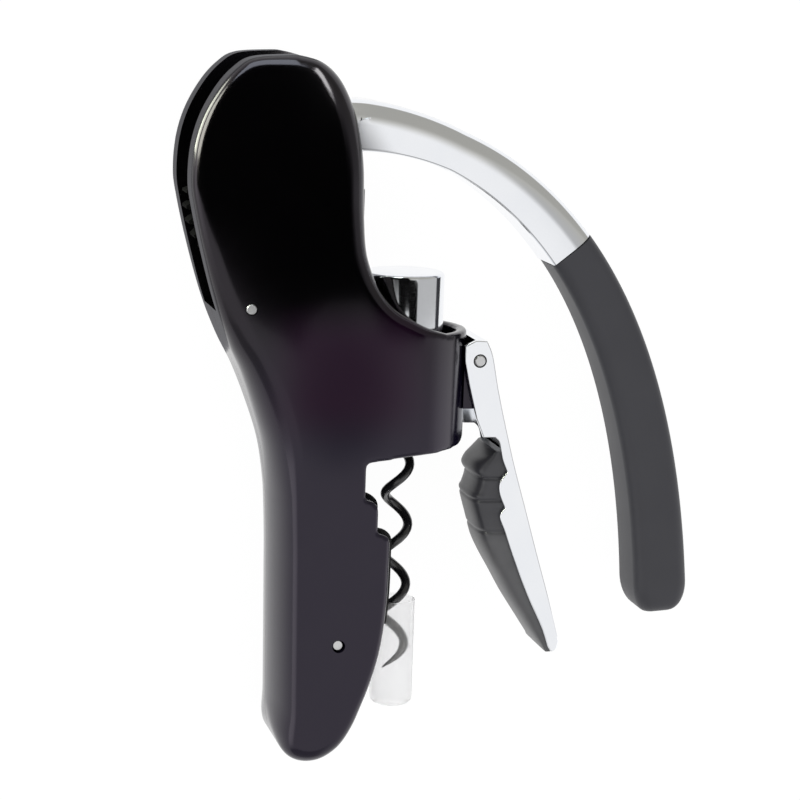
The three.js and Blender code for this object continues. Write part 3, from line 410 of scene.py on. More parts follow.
def combined(thing, operation, *others):
    """Cuts, joins or intersects an object with others, which are used up."""
    for other in others:
        step = thing.modifiers.new("step", "BOOLEAN")
        step.operation = operation
        step.solver = "MANIFOLD"
        step.object = other
        settled(thing)
        bpy.data.objects.remove(other)
    return smoothed(thing)


def moulded(thing, voxel, rounds):
    """Even skin with soft edges, as a mould leaves them."""
    remesh = thing.modifiers.new("skin", "REMESH")
    remesh.mode = "VOXEL"
    remesh.voxel_size = voxel * MM
    soften = thing.modifiers.new("soften", "SMOOTH")
    soften.factor = 0.5
    soften.iterations = rounds
    settled(thing)
    thing.data.shade_smooth()
    return thing


def mirrored(thing, name):
    """Copy reflected in the mid-plane."""
    copy = bpy.data.objects.new(name, thing.data.copy())
    scene.collection.objects.link(copy)
    places = np.empty(len(copy.data.vertices) * 3)
    copy.data.vertices.foreach_get("co", places)
    places[2::3] = 2 * ORIGIN[2] - places[2::3]
    copy.data.vertices.foreach_set("co", places)
    copy.data.flip_normals()
    copy.data.update()
    return copy


BODY_HALF_WIDTH = 17.75
SEAM, SEAM_STOCK = 0.05, 2
BODY_BACK, HEAD_TOP, LEG_END = 62.165, 95.2, 99.5
COLLAR_RADIUS, COLLAR_TOP = 17.7, 20.8
COLLAR_FRONT_DROP, COLLAR_BACK_DROP, COLLAR_CORNER = 11.2, 14, 6
BORE, SHELF_BORE, SHELF_TOP, SHELF_BOTTOM = 14.7, 12.4, 0.3, -2.9
NECK_RADIUS = 16.2
WINDOW_BACK, WINDOW_FRONT, WINDOW_CORNER = 13.3, 30, 1.5
STEP_ONE, STEP_TWO, STEP_TURN = (9.5, 24.4), (5.8, 33.9), 3.4
FAR, BEHIND, ACROSS = 120, -75, 30
leg_shares = [
    (-0.584, -0.864), (-0.573, -0.918), (-0.543, -0.963), (-0.49, -0.987), (-0.425, -0.994),
    (-0.358, -0.983), (-0.291, -0.95), (-0.238, -0.896), (-0.198, -0.834), (-0.164, -0.774), (-0.13, -0.696),
    (-0.108, -0.613), (-0.095, -0.513), (-0.093, -0.402),
]
swoop_shares = [
    (0.051, 0.239), (-0.024, 0.263), (-0.085, 0.286), (-0.138, 0.32), (-0.185, 0.369),
    (-0.217, 0.423), (-0.233, 0.475), (-0.241, 0.567), (-0.246, 0.683), (-0.264, 0.772),
    (-0.299, 0.857), (-0.363, 0.937), (-0.45, 0.983), (-0.555, 1),
]
back_shares = [
    (-0.732, 0.992), (-0.814, 0.962), (-0.887, 0.908), (-0.953, 0.83), (-0.99, 0.746),
    (-1, 0.651), (-0.984, 0.577), (-0.941, 0.453), (-0.881, 0.31), (-0.814, 0.191),
    (-0.746, 0.099), (-0.678, -0.02), (-0.633, -0.116), (-0.609, -0.226), (-0.597, -0.362),
    (-0.592, -0.523), (-0.584, -0.864),
]

# Where the edge's rounding changes, and its radius along each stretch.
HEAD_BACK, LEG_BACK, LEG_START = -38, -33, 10
HEAD_START, SWOOP_START, COLLAR_END = 60, 18, -14
BACK_EDGE = [(-97, 4), (-88, 6), (-25, 6), (0, 8.5), (26, 5.5), (42, 3.4), (60, 2.7), (95, 2.7)]
HEAD_EDGE = [(-38, 3.6), (-28, 3.8), (-24, 6)]
SWOOP_EDGE = [(18, 2.2), (24, 2.6), (36, 4), (55, 6)]
LEG_EDGE = [(-99, 4.8), (-90, 3.4), (-70, 2.2), (-14, 2)]
COLLAR_EDGE = 1.6
SWELL_ACROSS = [(-35, 1), (-26, 0)]
SWELL_ALONG = [(-98, 0), (-85, 1), (-24, 1), (24, 0)]


def collar_bottom(x):
    share = (x + WINDOW_BACK) / (COLLAR_RADIUS - COLLAR_CORNER + WINDOW_BACK)
    return -COLLAR_BACK_DROP + share * (COLLAR_BACK_DROP - COLLAR_FRONT_DROP)


def body_outline():
    """Head, collar and leg from the side, with the edge's roundness and its swell."""
    def body(shares):
        return [(x * BODY_BACK, y * (HEAD_TOP if y > 0 else LEG_END)) for x, y in shares]

    leg = body(leg_shares)
    front = COLLAR_RADIUS
    corner = front - COLLAR_CORNER
    rim = (BODY_HALF_WIDTH - COLLAR_RADIUS / 2, COLLAR_TOP)
    line = [np.array(leg[0]), *curve_through(leg[0], leg[1:])]
    line += [(leg[-1][0], collar_bottom(leg[-1][0])), (corner, -COLLAR_FRONT_DROP)]
    line += corner_to(line[-1], (front, -COLLAR_FRONT_DROP), (front, COLLAR_CORNER - COLLAR_FRONT_DROP))
    line += [(front, COLLAR_TOP), rim]
    line += curve_through(rim, body(swoop_shares))
    line += curve_through(line[-1], body(back_shares))
    line = np.array([tuple(point) for point in line[:-1]])
    roundness = []
    for x, y in line:
        if x < HEAD_BACK or (x < LEG_BACK and y < LEG_START):
            roundness.append(between(y, BACK_EDGE))
        elif y > HEAD_START:
            roundness.append(between(x, HEAD_EDGE))
        elif y > SWOOP_START:
            roundness.append(between(y, SWOOP_EDGE))
        elif y < COLLAR_END:
            roundness.append(between(y, LEG_EDGE))
        else:
            roundness.append(COLLAR_EDGE)
    spread = 4
    padded = np.concatenate([roundness[-spread:], roundness, roundness[:spread]])
    radii = np.convolve(padded, np.ones(2 * spread + 1) / (2 * spread + 1), "valid")
    return line, radii, between(line[:, 0], SWELL_ACROSS) * between(line[:, 1], SWELL_ALONG)


def neck_window(proud=0.0):
    """What the bottle's neck needs at the front of the leg, with a step per lip size."""
    back, turn, corner = proud - WINDOW_BACK, STEP_TURN, WINDOW_CORNER
    one, drop_one = proud - STEP_ONE[0], proud - STEP_ONE[1]
    two, drop_two = proud - STEP_TWO[0], proud - STEP_TWO[1]
    line = [(WINDOW_FRONT, collar_bottom(WINDOW_FRONT)), (back + corner, collar_bottom(back + corner))]
    line += corner_to(line[-1], (back, collar_bottom(back)), (back, collar_bottom(back) - corner))
    line += [(back, drop_one), *corner_to((back, drop_one), (one, drop_one), (one, drop_one - turn))]
    line += [(one, drop_two), *corner_to((one, drop_two), (two, drop_two), (two, drop_two - turn))]
    line += [(WINDOW_FRONT, drop_two - turn)]
    return np.array([tuple(point) for point in line])


GEAR_BACK, GEAR_HEIGHT, GEAR_SPACE = 39.6, 56, 24.0
SLOT_HALF_WIDTH, SLOT_FLOOR, SLOT_STEP = 9, 26.8, 50
POCKET_BACK, POCKET_FLOOR = 22.5, 7.5
RACK_POCKET = ((-20.7, -13.5, -4.5), (-14.2, FAR, 4.5))


def slot_outline():
    """Slot between the cheeks, its floor curved round the gear."""
    start = -math.pi + math.acos((SLOT_STEP - GEAR_BACK) / GEAR_SPACE)
    end = -math.acos((GEAR_BACK - POCKET_BACK) / GEAR_SPACE)
    arc = [(-GEAR_BACK + GEAR_SPACE * math.cos(a), GEAR_HEIGHT + GEAR_SPACE * math.sin(a))
           for a in np.linspace(start, end, 40)]
    return [(BEHIND, FAR), (BEHIND, SLOT_FLOOR), (-SLOT_STEP, SLOT_FLOOR), *arc, (0, arc[-1][1]), (0, FAR)]


def collar_section():
    """Round front and flat sides, as seen along the worm."""
    angles = np.linspace(-math.pi / 2, math.pi / 2, 65)
    section = [(COLLAR_RADIUS * math.cos(a), COLLAR_RADIUS * math.sin(a)) for a in angles]
    section += [(BEHIND, BODY_HALF_WIDTH), (BEHIND, -BODY_HALF_WIDTH)]
    return skin("section", [[(x, y, z) for x, z in section] for y in (-FAR, FAR)])


BRACKET_HALF_ANGLE = math.radians(31)
BRACKET_LOW, BRACKET_HIGH, BRACKET_THICKNESS = -8.4, 18.6, 2


def bracket_plate(name, gap):
    angles = np.linspace(-1, 1, 33) * (BRACKET_HALF_ANGLE + gap / COLLAR_RADIUS)
    outer, inner = COLLAR_RADIUS + gap, COLLAR_RADIUS - BRACKET_THICKNESS - gap
    section = [(outer * math.cos(a), outer * math.sin(a)) for a in angles]
    section += [(inner * math.cos(a), inner * math.sin(a)) for a in angles[::-1]]
    return skin(name, [[(x, y, z) for x, z in section] for y in (BRACKET_LOW - gap, BRACKET_HIGH + gap)])


NEAR_AXIS = 0.01


def rod(name, radius, low, high):
    return turned(name, [(NEAR_AXIS, low), (radius, low), (radius, high), (NEAR_AXIS, high)])


HINGE = np.array((19.5, 12.7))
KNUCKLE_RADIUS, KNUCKLE_INNER, KNUCKLE_OUTER = 2.6, 3.1, 9
UPPER_PIN, LOWER_PIN = (-45.9, 28.5), (-19.7, -65.1)
PIN_RADIUS, PIN_HOLE, PIN_PLAY = 1.55, 1.8, 0.1
BRACKET_PLAY, KNUCKLE_PLAY, NECK_PLAY = 0.2, 0.3, 0.3

outline, edge_radii, edge_swell = body_outline()
shell = slab("left_shell", outline, -SEAM_STOCK, BODY_HALF_WIDTH, edge_radii, steps=16, swell=edge_swell)
combined(shell, "INTERSECT", collar_section())
combined(
    shell, "DIFFERENCE",
    slab("window", neck_window(), -ACROSS, ACROSS),
    rod("bore", BORE, SHELF_TOP, FAR),
    rod("shelf", SHELF_BORE, -ACROSS, ACROSS),
    rod("lower_bore", BORE, -FAR, SHELF_BOTTOM),
    rod("neck", NECK_RADIUS, -FAR, -COLLAR_BACK_DROP - NECK_PLAY),
    block("block_pocket", (-POCKET_BACK, POCKET_FLOOR, -SLOT_HALF_WIDTH), (0, FAR, SLOT_HALF_WIDTH)),
    block("rack_pocket", *RACK_POCKET),
)
moulded(shell, voxel=0.5, rounds=8)
combined(
    shell, "DIFFERENCE",
    slab("slot", slot_outline(), -SLOT_HALF_WIDTH, SLOT_HALF_WIDTH),
    block("seam", (-FAR, -FAR, -FAR), (FAR, FAR, SEAM)),
    bracket_plate("bracket_seat", BRACKET_PLAY),
    pin("knuckle_space", *HINGE, -KNUCKLE_OUTER - KNUCKLE_PLAY, KNUCKLE_OUTER + KNUCKLE_PLAY,
        KNUCKLE_RADIUS + KNUCKLE_PLAY),
    pin("upper_pin_hole", *UPPER_PIN, -ACROSS, ACROSS, PIN_RADIUS + PIN_PLAY),
    pin("lower_pin_hole", *LOWER_PIN, -ACROSS, ACROSS, PIN_HOLE),
)


def spots(tree, size, detail=3):
    """Soft noise, 0 to 1, with spots of a size in millimetres."""
    place = tree.node("ShaderNodeTexCoord", output="Object")
    return tree.node("ShaderNodeTexNoise", {}, {"Vector": place, "Scale": 1 / (size * MM), "Detail": detail})


def bumped(height, strength, depth):
    """Normal of a surface raised by a height, 0 to 1, times a depth in millimetres."""
    sizes = {"Strength": strength, "Distance": depth * MM, "Height": height}
    return height.node("ShaderNodeBump", {}, sizes, "Normal")


# Painted sheen: a purple tint over the collar and the lower head, with a thinner coat there.
PAINTED_SHEEN_PATCH = [(-45, -12, 0), (9, 32, 0)]
PAINTED_SHEEN_FADE, PAINTED_SHEEN_TOP_FADE = 16, 14
# Painted reflection: the black turns paler and bluer from the head down the leg, as the room it mirrors gets
# lighter, and the head is left darkest as painted shade.
HEAD_BLACK_PAINTED_SHADE, LEG_BLACK_PAINTED_REFLECTION = (0.0003, 0.0003, 0.0004, 1), (0.004, 0.0028, 0.011, 1)
PAINTED_SHEEN_BLACK = (0.012, 0.0015, 0.0115, 1)


def black_plastic(tree):
    fine, broad = spots(tree, 0.35), spots(tree, 9)
    across = tree.place()
    along = across.sibling("Y")
    (left, low, _), (right, high, _) = here(PAINTED_SHEEN_PATCH)
    fade = PAINTED_SHEEN_FADE * MM
    painted_sheen = along.step(high, high - PAINTED_SHEEN_TOP_FADE * MM) * along.step(low, low + fade)
    painted_sheen = painted_sheen * across.step(left, left + fade) * across.step(right, right - fade)
    return tree.node("ShaderNodeBsdfPrincipled", {}, {
        # Painted reflection down the leg, painted shade on the head, and a painted purple sheen over the
        # collar.
        "Base Color": painted_sheen.blend(along.step(high, low).blend(HEAD_BLACK_PAINTED_SHADE, LEG_BLACK_PAINTED_REFLECTION), PAINTED_SHEEN_BLACK),
        "Roughness": 0.16 + broad * 0.05,
        "IOR": 1.42,
        "Specular Tint": (0.95, 0.84, 1, 1),
        "Coat Weight": (1 - painted_sheen) * (0.16 + broad * 0.06),
        "Coat Roughness": 0.1,
        "Normal": bumped(fine, 0.1, 0.02),
    })


other_shell = mirrored(shell, "right_shell")
for half, node in ((shell, "left_housing_shell"), (other_shell, "right_housing_shell")):
    surfaced(half, half.name + "_plastic", black_plastic)
    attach(half, "housing")
    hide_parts(node)


# Neck liner. Thin black rubber in the leg's channel, stepped like the leg's front edge
# and standing a little proud of it, so that a second contour shows along the steps.
LINER_THICKNESS, LINER_PROUD, LINER_TOP, LINER_BOTTOM = 1.3, 0.7, -15.5, -60
LINER_HALF_WIDTH, LINER_PLAY = 15.5, 0.3


def rubber(tree):
    grain = spots(tree, 0.5)
    return tree.node("ShaderNodeBsdfPrincipled", {}, {
        "Base Color": grain.blend((0.012, 0.012, 0.013, 1), (0.02, 0.02, 0.021, 1)),
        "Roughness": 0.55 + grain * 0.2,
        "Normal": bumped(grain, 0.4, 0.05),
    })


outer = NECK_RADIUS - LINER_PLAY
inner = outer - LINER_THICKNESS
profile = [(inner, LINER_BOTTOM), (outer, LINER_BOTTOM), (outer, LINER_TOP), (inner, LINER_TOP)]
liner = turned("liner", profile)
combined(liner, "INTERSECT", slab("leg", outline + (LINER_PROUD, 0), -LINER_HALF_WIDTH, LINER_HALF_WIDTH))
combined(liner, "DIFFERENCE", slab("window", neck_window(LINER_PROUD), -ACROSS, ACROSS))
surfaced(liner, "liner_rubber", rubber)
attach(liner, "housing")
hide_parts("neck_liner")


# Cross pins. Ground steel pins that hold the shells together: the upper one flush with
# the cheek, the lower one deeper in its hole.
def ground_steel(tree):
    rings = spots(tree, 0.25, 6)
    return tree.node("ShaderNodeBsdfPrincipled", {}, {
        "Base Color": rings.blend((0.55, 0.55, 0.56, 1), (0.8, 0.8, 0.8, 1)),
        "Metallic": 1,
        "Roughness": 0.28 + rings * 0.12,
        "Normal": bumped(rings, 0.3, 0.02),
    })


PIN_RECESS, PIN_DOME = 1.3, 0.3
for name, place, recess in (("upper", UPPER_PIN, 0), ("lower", LOWER_PIN, PIN_RECESS)):
    end = BODY_HALF_WIDTH - recess
    made = pin(name + "_pin", *place, -end, end, PIN_RADIUS, PIN_DOME)
    surfaced(made, name + "_pin_steel", ground_steel)
    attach(made, "housing")
    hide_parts(name + "_cross_pin")


# Hand lever arm. Chromed casting: a forked hub that turns on the axle between the head's
# cheeks, and from it an arched arm whose flat sides slope off softly to the outer edge.
ARCH = np.array([(-14, 76.4), (7.2, 74.9), (71.5, 60.3), (77.9, -62.3)])
ARM_START_SHARE, GRIP_START_SHARE = -0.11, 0.575
ARM_HALF_WIDTH, FORK_HALF_WIDTH, FORK_EDGE = 8.1, 8, 0.8
ARCH_DEPTH = [(0, 13.6), (GRIP_START_SHARE / 2, 11.4), (GRIP_START_SHARE, 13.6), (1, 15.85)]
HUB_RADIUS, AXLE_RADIUS = 15, 3
GEAR_GAP_RADIUS, GEAR_GAP_HALF_WIDTH = 22.2, 3.8
ROOT_OVERLAP_SHARE, ROOT_INSET, ROOT_SHARE, ROOT_BULGE_SHARES = 0.02, 0.9, 0.45, (0.78, 1.4)
ARM_EDGE = [
    (0, 8), (0, 4.2), (0.12, 3.2), (0.4, 2.4), (0.8, 1.85), (1.25, 1.45),
    (1.8, 1.1), (2.5, 0.76), (3.3, 0.48), (4.3, 0.25), (5.3, 0.12), (6.4, 0.03),
]
ARM_INNER_EDGE = [(0.9, 0), (0.5, 0.06), (0.2, 0.22), (0, 0.6), (0, 8)]


def arch(t):
    weights = ((1 - t)**3, 3 * t * (1 - t)**2, 3 * t**2 * (1 - t), t**3)
    return sum(weight * point for weight, point in zip(weights, ARCH))


def arch_outward(t):
    """Outward direction, square to the arch."""
    slope = arch(t + 1e-4) - arch(t - 1e-4)
    x, y = slope / np.linalg.norm(slope)
    return np.array((-y, x))


def arm_ring(t):
    """Section across the arm: a flat side that slopes off softly to the outer edge."""
    deep, wide = between(t, ARCH_DEPTH) / 2, ARM_HALF_WIDTH
    half = [(deep - inset, wide - drop) for inset, drop in ARM_EDGE]
    half += [(inset - deep, wide - drop) for inset, drop in ARM_INNER_EDGE]
    ring = half + [(across, -z) for across, z in half[:0:-1]]
    return [(*(arch(t) + arch_outward(t) * across), z) for across, z in ring]


def chrome(tree):
    haze, marks = spots(tree, 14), spots(tree, 0.8, 5)
    return tree.node("ShaderNodeBsdfPrincipled", {}, {
        "Base Color": haze.blend((0.84, 0.86, 0.9, 1), (0.91, 0.92, 0.94, 1)),
        "Metallic": 1,
        "Roughness": 0.07 + marks * 0.05,
        "Normal": bumped(haze, 0.05, 0.2),
    })


arm = skin("arm", [arm_ring(t) for t in np.linspace(ARM_START_SHARE, GRIP_START_SHARE, 84)], degrees=15)
start = arch(ROOT_OVERLAP_SHARE)
outward = arch_outward(ROOT_OVERLAP_SHARE) * (between(ROOT_OVERLAP_SHARE, ARCH_DEPTH) / 2 - ROOT_INSET)
hub = np.array((-GEAR_BACK, GEAR_HEIGHT))
top_angle, bottom_angle = math.pi / 2 + math.pi / 18, math.pi / 12
crown = hub + HUB_RADIUS * np.array((math.cos(top_angle), math.sin(top_angle)))
root = [start - outward, start + outward * ROOT_SHARE]
root += corner_to(root[1], hub + HUB_RADIUS * np.array(ROOT_BULGE_SHARES), crown)
root += [hub + HUB_RADIUS * np.array((math.cos(a), math.sin(a)))
         for a in np.linspace(top_angle, 2 * math.pi + bottom_angle, 80)[1:]]
combined(arm, "UNION", slab("root", root, -FORK_HALF_WIDTH, FORK_HALF_WIDTH, FORK_EDGE, both=True))
combined(arm, "DIFFERENCE",
         pin("gear_gap", *hub, -GEAR_GAP_HALF_WIDTH, GEAR_GAP_HALF_WIDTH, GEAR_GAP_RADIUS),
         pin("axle_bore", *hub, -ACROSS, ACROSS, AXLE_RADIUS + PIN_PLAY))
evened(smoothed(arm, 18))
surfaced(arm, "arm_chrome", chrome)
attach(arm, "lever")
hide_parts("lever_arm")


# Grip. Dark grey soft-touch moulding pushed over the arm's end, fuller than the arm, with
# well rounded corners and a rounded end.
GRIP_HALF_WIDTH, GRIP_END_ROUND, GRIP_CORNER_SHARE, GRIP_PLAY = 9.4, 4.5, 0.5, 0.3


def soft_touch(tree):
    fine, broad = spots(tree, 0.3, 4), spots(tree, 12)
    return tree.node("ShaderNodeBsdfPrincipled", {}, {
        "Base Color": broad.blend((0.05, 0.05, 0.057, 1), (0.06, 0.06, 0.068, 1)),
        "Roughness": 0.36 + broad * 0.1,
        "Specular IOR Level": 0.22,
        "Normal": bumped(fine, 0.3, 0.03),
    })


def quarter_turn():
    return [math.pi / 2 * i / 8 for i in range(9)]


def grip_ring(t, shrink=0.0):
    """Section across the grip, flat with rounded corners, drawn in all round by a shrink."""
    deep = between(t, ARCH_DEPTH) / 2 - shrink
    wide = between(t, [(GRIP_START_SHARE, ARM_HALF_WIDTH), (1, GRIP_HALF_WIDTH)]) - shrink
    corner = GRIP_CORNER_SHARE * min(deep, wide)
    ring = []
    for quarter, (side, lift) in enumerate(((1, 1), (-1, 1), (-1, -1), (1, -1))):
        for angle in quarter_turn():
            angle += quarter * math.pi / 2
            across = side * (deep - corner) + corner * math.cos(angle)
            x, y = arch(t) + arch_outward(t) * across
            ring.append((x, y, lift * (wide - corner) + corner * math.sin(angle)))
    return ring


arch_length = sum(np.linalg.norm(arch((i + 1) / 200) - arch(i / 200)) for i in range(200))
end_share = GRIP_END_ROUND / arch_length
start_share = GRIP_START_SHARE + GRIP_PLAY / arch_length
rings = [grip_ring(t) for t in np.linspace(start_share, 1 - end_share, 64)]
for i in range(1, 11):
    angle = math.pi / 2 * i / 11
    t = 1 - end_share + end_share * math.sin(angle)
    rings.append(grip_ring(t, GRIP_END_ROUND * (1 - math.cos(angle))))
grip = skin("grip", rings)
surfaced(grip, "grip_soft_touch", soft_touch)
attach(grip, "lever")
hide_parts("lever_grip")


# Cap tube. Polished chrome tube with a closed, flat top, which rises out of the collar
# and carries the worm.
TUBE_RADIUS, TUBE_WALL, TUBE_BOTTOM, TUBE_EDGE = 11.2, 2, -2.6, 1
inner, shoulder = TUBE_RADIUS - TUBE_WALL, CAP_TOP - TUBE_EDGE
profile = [(inner, TUBE_BOTTOM), (TUBE_RADIUS, TUBE_BOTTOM)]
for angle in quarter_turn():
    radius = TUBE_RADIUS - TUBE_EDGE + TUBE_EDGE * math.cos(angle)
    profile.append((radius, shoulder + TUBE_EDGE * math.sin(angle)))
profile += [(NEAR_AXIS, CAP_TOP), (NEAR_AXIS, CAP_TOP - TUBE_WALL), (inner, CAP_TOP - TUBE_WALL)]
cap = turned("cap", profile, steps=160)
surfaced(cap, "cap_chrome", chrome)
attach(cap, "carriage")
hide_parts("cap_tube")


# Worm. One steel wire wound into an open right-handed helix with a sharpened point,
# coated black, on a round head that turns inside the cap tube.
WIRE_RADIUS, WIRE_SIDES, HELIX_RADIUS, PITCH, CREST = 1.33, 16, 3.3, 17.3, -34.6
WORM_TIP, POINT_LENGTH, POINT_SHARE = -76.6, 6, 0.15
WORM_HEAD_BOTTOM, WORM_HEAD_TOP, WORM_HEAD_PLAY = 24.3, 30.3, 0.6


def wire(name, centres, radii):
    """Round wire along centres that wind round the worm's axis."""
    along = np.gradient(centres, axis=0)
    along /= np.linalg.norm(along, axis=1)[:, None]
    angles = [2 * math.pi * j / WIRE_SIDES for j in range(WIRE_SIDES)]
    rings = []
    for centre, way, radius in zip(centres, along, radii):
        side = centre * (1, 0, 1)
        side -= way * (side @ way)
        side /= np.linalg.norm(side)
        up = np.cross(way, side)
        rings.append([centre + radius * (side * math.cos(a) + up * math.sin(a)) for a in angles])
    return skin(name, rings, degrees=60)


def coating(tree):
    fine = spots(tree, 0.4, 4)
    return tree.node("ShaderNodeBsdfPrincipled", {}, {
        "Base Color": fine.blend((0.005, 0.005, 0.006, 1), (0.012, 0.012, 0.014, 1)),
        "Roughness": 0.2 + fine * 0.12,
        "Coat Weight": 0.5,
        "Coat Roughness": 0.1,
        "Normal": bumped(fine, 0.2, 0.02),
    })


heights = np.linspace(WORM_TIP, (WORM_HEAD_BOTTOM + WORM_HEAD_TOP) / 2, 290)
angles = 2 * np.pi * (heights - CREST) / PITCH
coil = np.column_stack([HELIX_RADIUS * np.cos(angles), heights, -HELIX_RADIUS * np.sin(angles)])
sharpening = POINT_SHARE + (1 - POINT_SHARE) * (heights - WORM_TIP) / POINT_LENGTH
taper = np.clip(sharpening, 0, 1) * WIRE_RADIUS
worm = wire("worm_wire", coil, taper)
worm_head_radius = TUBE_RADIUS - TUBE_WALL - WORM_HEAD_PLAY
combined(worm, "UNION", rod("worm_head", worm_head_radius, WORM_HEAD_BOTTOM, WORM_HEAD_TOP))
surfaced(worm, "worm_coating", coating)
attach(worm, "worm")
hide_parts("worm")


# Tip sleeve. Milky clear plastic cup that guards the worm's point, open towards the
# collar and pulled off by hand. The wire shows through it.
SLEEVE_RADIUS, SLEEVE_WALL, SLEEVE_TOP, SLEEVE_BOTTOM, SLEEVE_ROUND = 6, 1, -57, -87.3, 2


def milky_plastic(tree):
    haze = spots(tree, 2)
    return tree.node("ShaderNodeBsdfPrincipled", {}, {
        "Base Color": haze.blend((0.98, 0.98, 0.99, 1), (1, 1, 1, 1)),
        "Roughness": 0.3 + haze * 0.1,
        "IOR": 1.08,
        "Transmission Weight": 0.9,
        "Normal": bumped(haze, 0.1, 0.05),
    })


inner = SLEEVE_RADIUS - SLEEVE_WALL
profile = [(NEAR_AXIS, SLEEVE_BOTTOM)]
for angle in quarter_turn():
    radius = SLEEVE_RADIUS - SLEEVE_ROUND + SLEEVE_ROUND * math.sin(angle)
    profile.append((radius, SLEEVE_BOTTOM + SLEEVE_ROUND * (1 - math.cos(angle))))
cup_floor = SLEEVE_BOTTOM + SLEEVE_ROUND
profile += [(SLEEVE_RADIUS, SLEEVE_TOP), (inner, SLEEVE_TOP), (inner, cup_floor), (NEAR_AXIS, cup_floor)]
sleeve = turned("sleeve", profile)
surfaced(sleeve, "sleeve_plastic", milky_plastic)
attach(sleeve, "sleeve")
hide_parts("tip_sleeve")


# Clamp lever. A chromed sheet folded into a channel: two side plates with scalloped
# inner edges, joined by a web along the outer edge, hinged at the front of the collar.
CLAMP_LENGTH, CLAMP_HALF_WIDTH, CLAMP_WALL, CLAMP_EDGE = 90, 11, 1.2, 0.3
HINGE_PIN_RADIUS, HINGE_PLAY, COLLAR_PLAY, CHANNEL_DROP = 1.55, 0.35, 0.6, 5
clamp_inner_shares = [
    (-0.049, 0.046), (-0.047, -0.002), (-0.031, -0.074), (-0.003, -0.18), (0.021, -0.239), (0.058, -0.24),
]
clamp_scallop_shares = [
    [(0.074, -0.259), (0.086, -0.311), (0.102, -0.35)],
    [(0.08, -0.382), (0.081, -0.42), (0.099, -0.464)],
    [(0.084, -0.492), (0.103, -0.542), (0.136, -0.631), (0.186, -0.75), (0.236, -0.853), (0.26, -0.919)],
]
clamp_tip_shares = [(0.272, -0.934), (0.288, -0.923), (0.294, -0.899)]
clamp_outer_shares = [
    (0.252, -0.752), (0.207, -0.606), (0.167, -0.472), (0.127, -0.34), (0.093, -0.214), (0.062, -0.088),
    (0.041, 0.014), (0.021, 0.061),
]
clamp_top_share = (-0.014, 0.063)


def clamp_points(shares):
    return [HINGE + np.array(share) * CLAMP_LENGTH for share in shares]


def clamp_outline():
    line = clamp_points(clamp_inner_shares)
    for shares in (*clamp_scallop_shares, clamp_tip_shares, clamp_outer_shares):
        line += curve_through(line[-1], clamp_points(shares), 6)
    return line + clamp_points([clamp_top_share])


def clamp_channel(wall):
    """Space between the side plates, open towards the bottle."""
    inset = [point - (wall, 0) for point in clamp_points(clamp_outer_shares)]
    tip = clamp_points(clamp_tip_shares)[1] - (2 * wall, 0)
    roof = inset[-1][1] - wall
    low = tip - (0, CHANNEL_DROP)
    line = [(-COLLAR_RADIUS, roof), (-COLLAR_RADIUS, low[1]), low, tip]
    return line + curve_through(tip, inset[:-1], 6) + [(inset[-1][0], roof)]


inside = CLAMP_HALF_WIDTH - CLAMP_WALL
clamp = slab("clamp", clamp_outline(), -CLAMP_HALF_WIDTH, CLAMP_HALF_WIDTH, CLAMP_EDGE, both=True, steps=3)
combined(clamp, "DIFFERENCE",
         slab("channel", clamp_channel(CLAMP_WALL), -inside, inside),
         block("collar_space", (0, -COLLAR_RADIUS, -inside), (COLLAR_RADIUS + COLLAR_PLAY, FAR, inside)),
         pin("hinge_bore", *HINGE, -ACROSS, ACROSS, HINGE_PIN_RADIUS + HINGE_PLAY))
evened(clamp)
surfaced(clamp, "clamp_chrome", chrome)
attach(clamp, "clamp")
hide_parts("clamp_lever")


# Clamp pad. Charcoal rubber pressed into the clamp's channel, waved and creased along its
# face where it grips the bottle's neck, rounded across down to the side plates' edges,
# and paler in its lower half.
pad_shares = [
    (0.014, -0.326), (0.002, -0.352), (0.013, -0.381), (0.004, -0.417), (-0.003, -0.434),
    (0.004, -0.468), (0.02, -0.522), (0.039, -0.586), (0.065, -0.639), (0.1, -0.699), (0.145, -0.777),
    (0.204, -0.866), (0.236, -0.912), (0.256, -0.938),
]
PAD_PALE_FROM, PAD_PALE_BELOW = -34, -40


def pad_rubber(tree):
    grain, broad = spots(tree, 0.4, 4), spots(tree, 5)
    (_, high, _), (_, low, _) = here([(0, PAD_PALE_FROM, 0), (0, PAD_PALE_BELOW, 0)])
    lower = tree.place().sibling("Y").step(high, low)
    return tree.node("ShaderNodeBsdfPrincipled", {}, {
        "Base Color": broad.blend(lower.blend((0.04, 0.04, 0.046, 1), (0.085, 0.085, 0.09, 1)),
                                  lower.blend((0.058, 0.058, 0.066, 1), (0.115, 0.115, 0.12, 1))),
        "Roughness": 0.32 + grain * 0.12,
        "Normal": bumped(grain, 0.2, 0.04),
    })


PAD_DROP, PAD_TOP_DEPTH, PAD_PLAY, PAD_BACK_PLAY = 6.6, 1.2, 0.3, 0.4
PAD_ROUNDING, PAD_ROUND_POWER, PAD_PROUD = 4, 2.8, 0.2
PAD_LEAST_DEPTH, PAD_ROUND_LIMIT_SHARE, PAD_EDGE_SHARE = 0.15, 0.85, 0.999
PAD_CREASES, CREASE_DEPTH, CREASE_WIDTH = [-20.9, -27.2, -36.4], 0.3, 0.45
pad_top = clamp_points(clamp_outer_shares)[4] + (-CLAMP_WALL - PAD_PLAY, -PAD_DROP)
pad_front = clamp_points(pad_shares)
back_line = curve_through(clamp_points(clamp_tip_shares)[-1], clamp_points(clamp_outer_shares), 8)
back_line = [(y, x - CLAMP_WALL - PAD_BACK_PLAY) for x, y in back_line]
plate_line = clamp_points([clamp_inner_shares[-1], *sum(clamp_scallop_shares, [])])
plate_line = [(y, x) for x, y in reversed(plate_line)]
rings = []
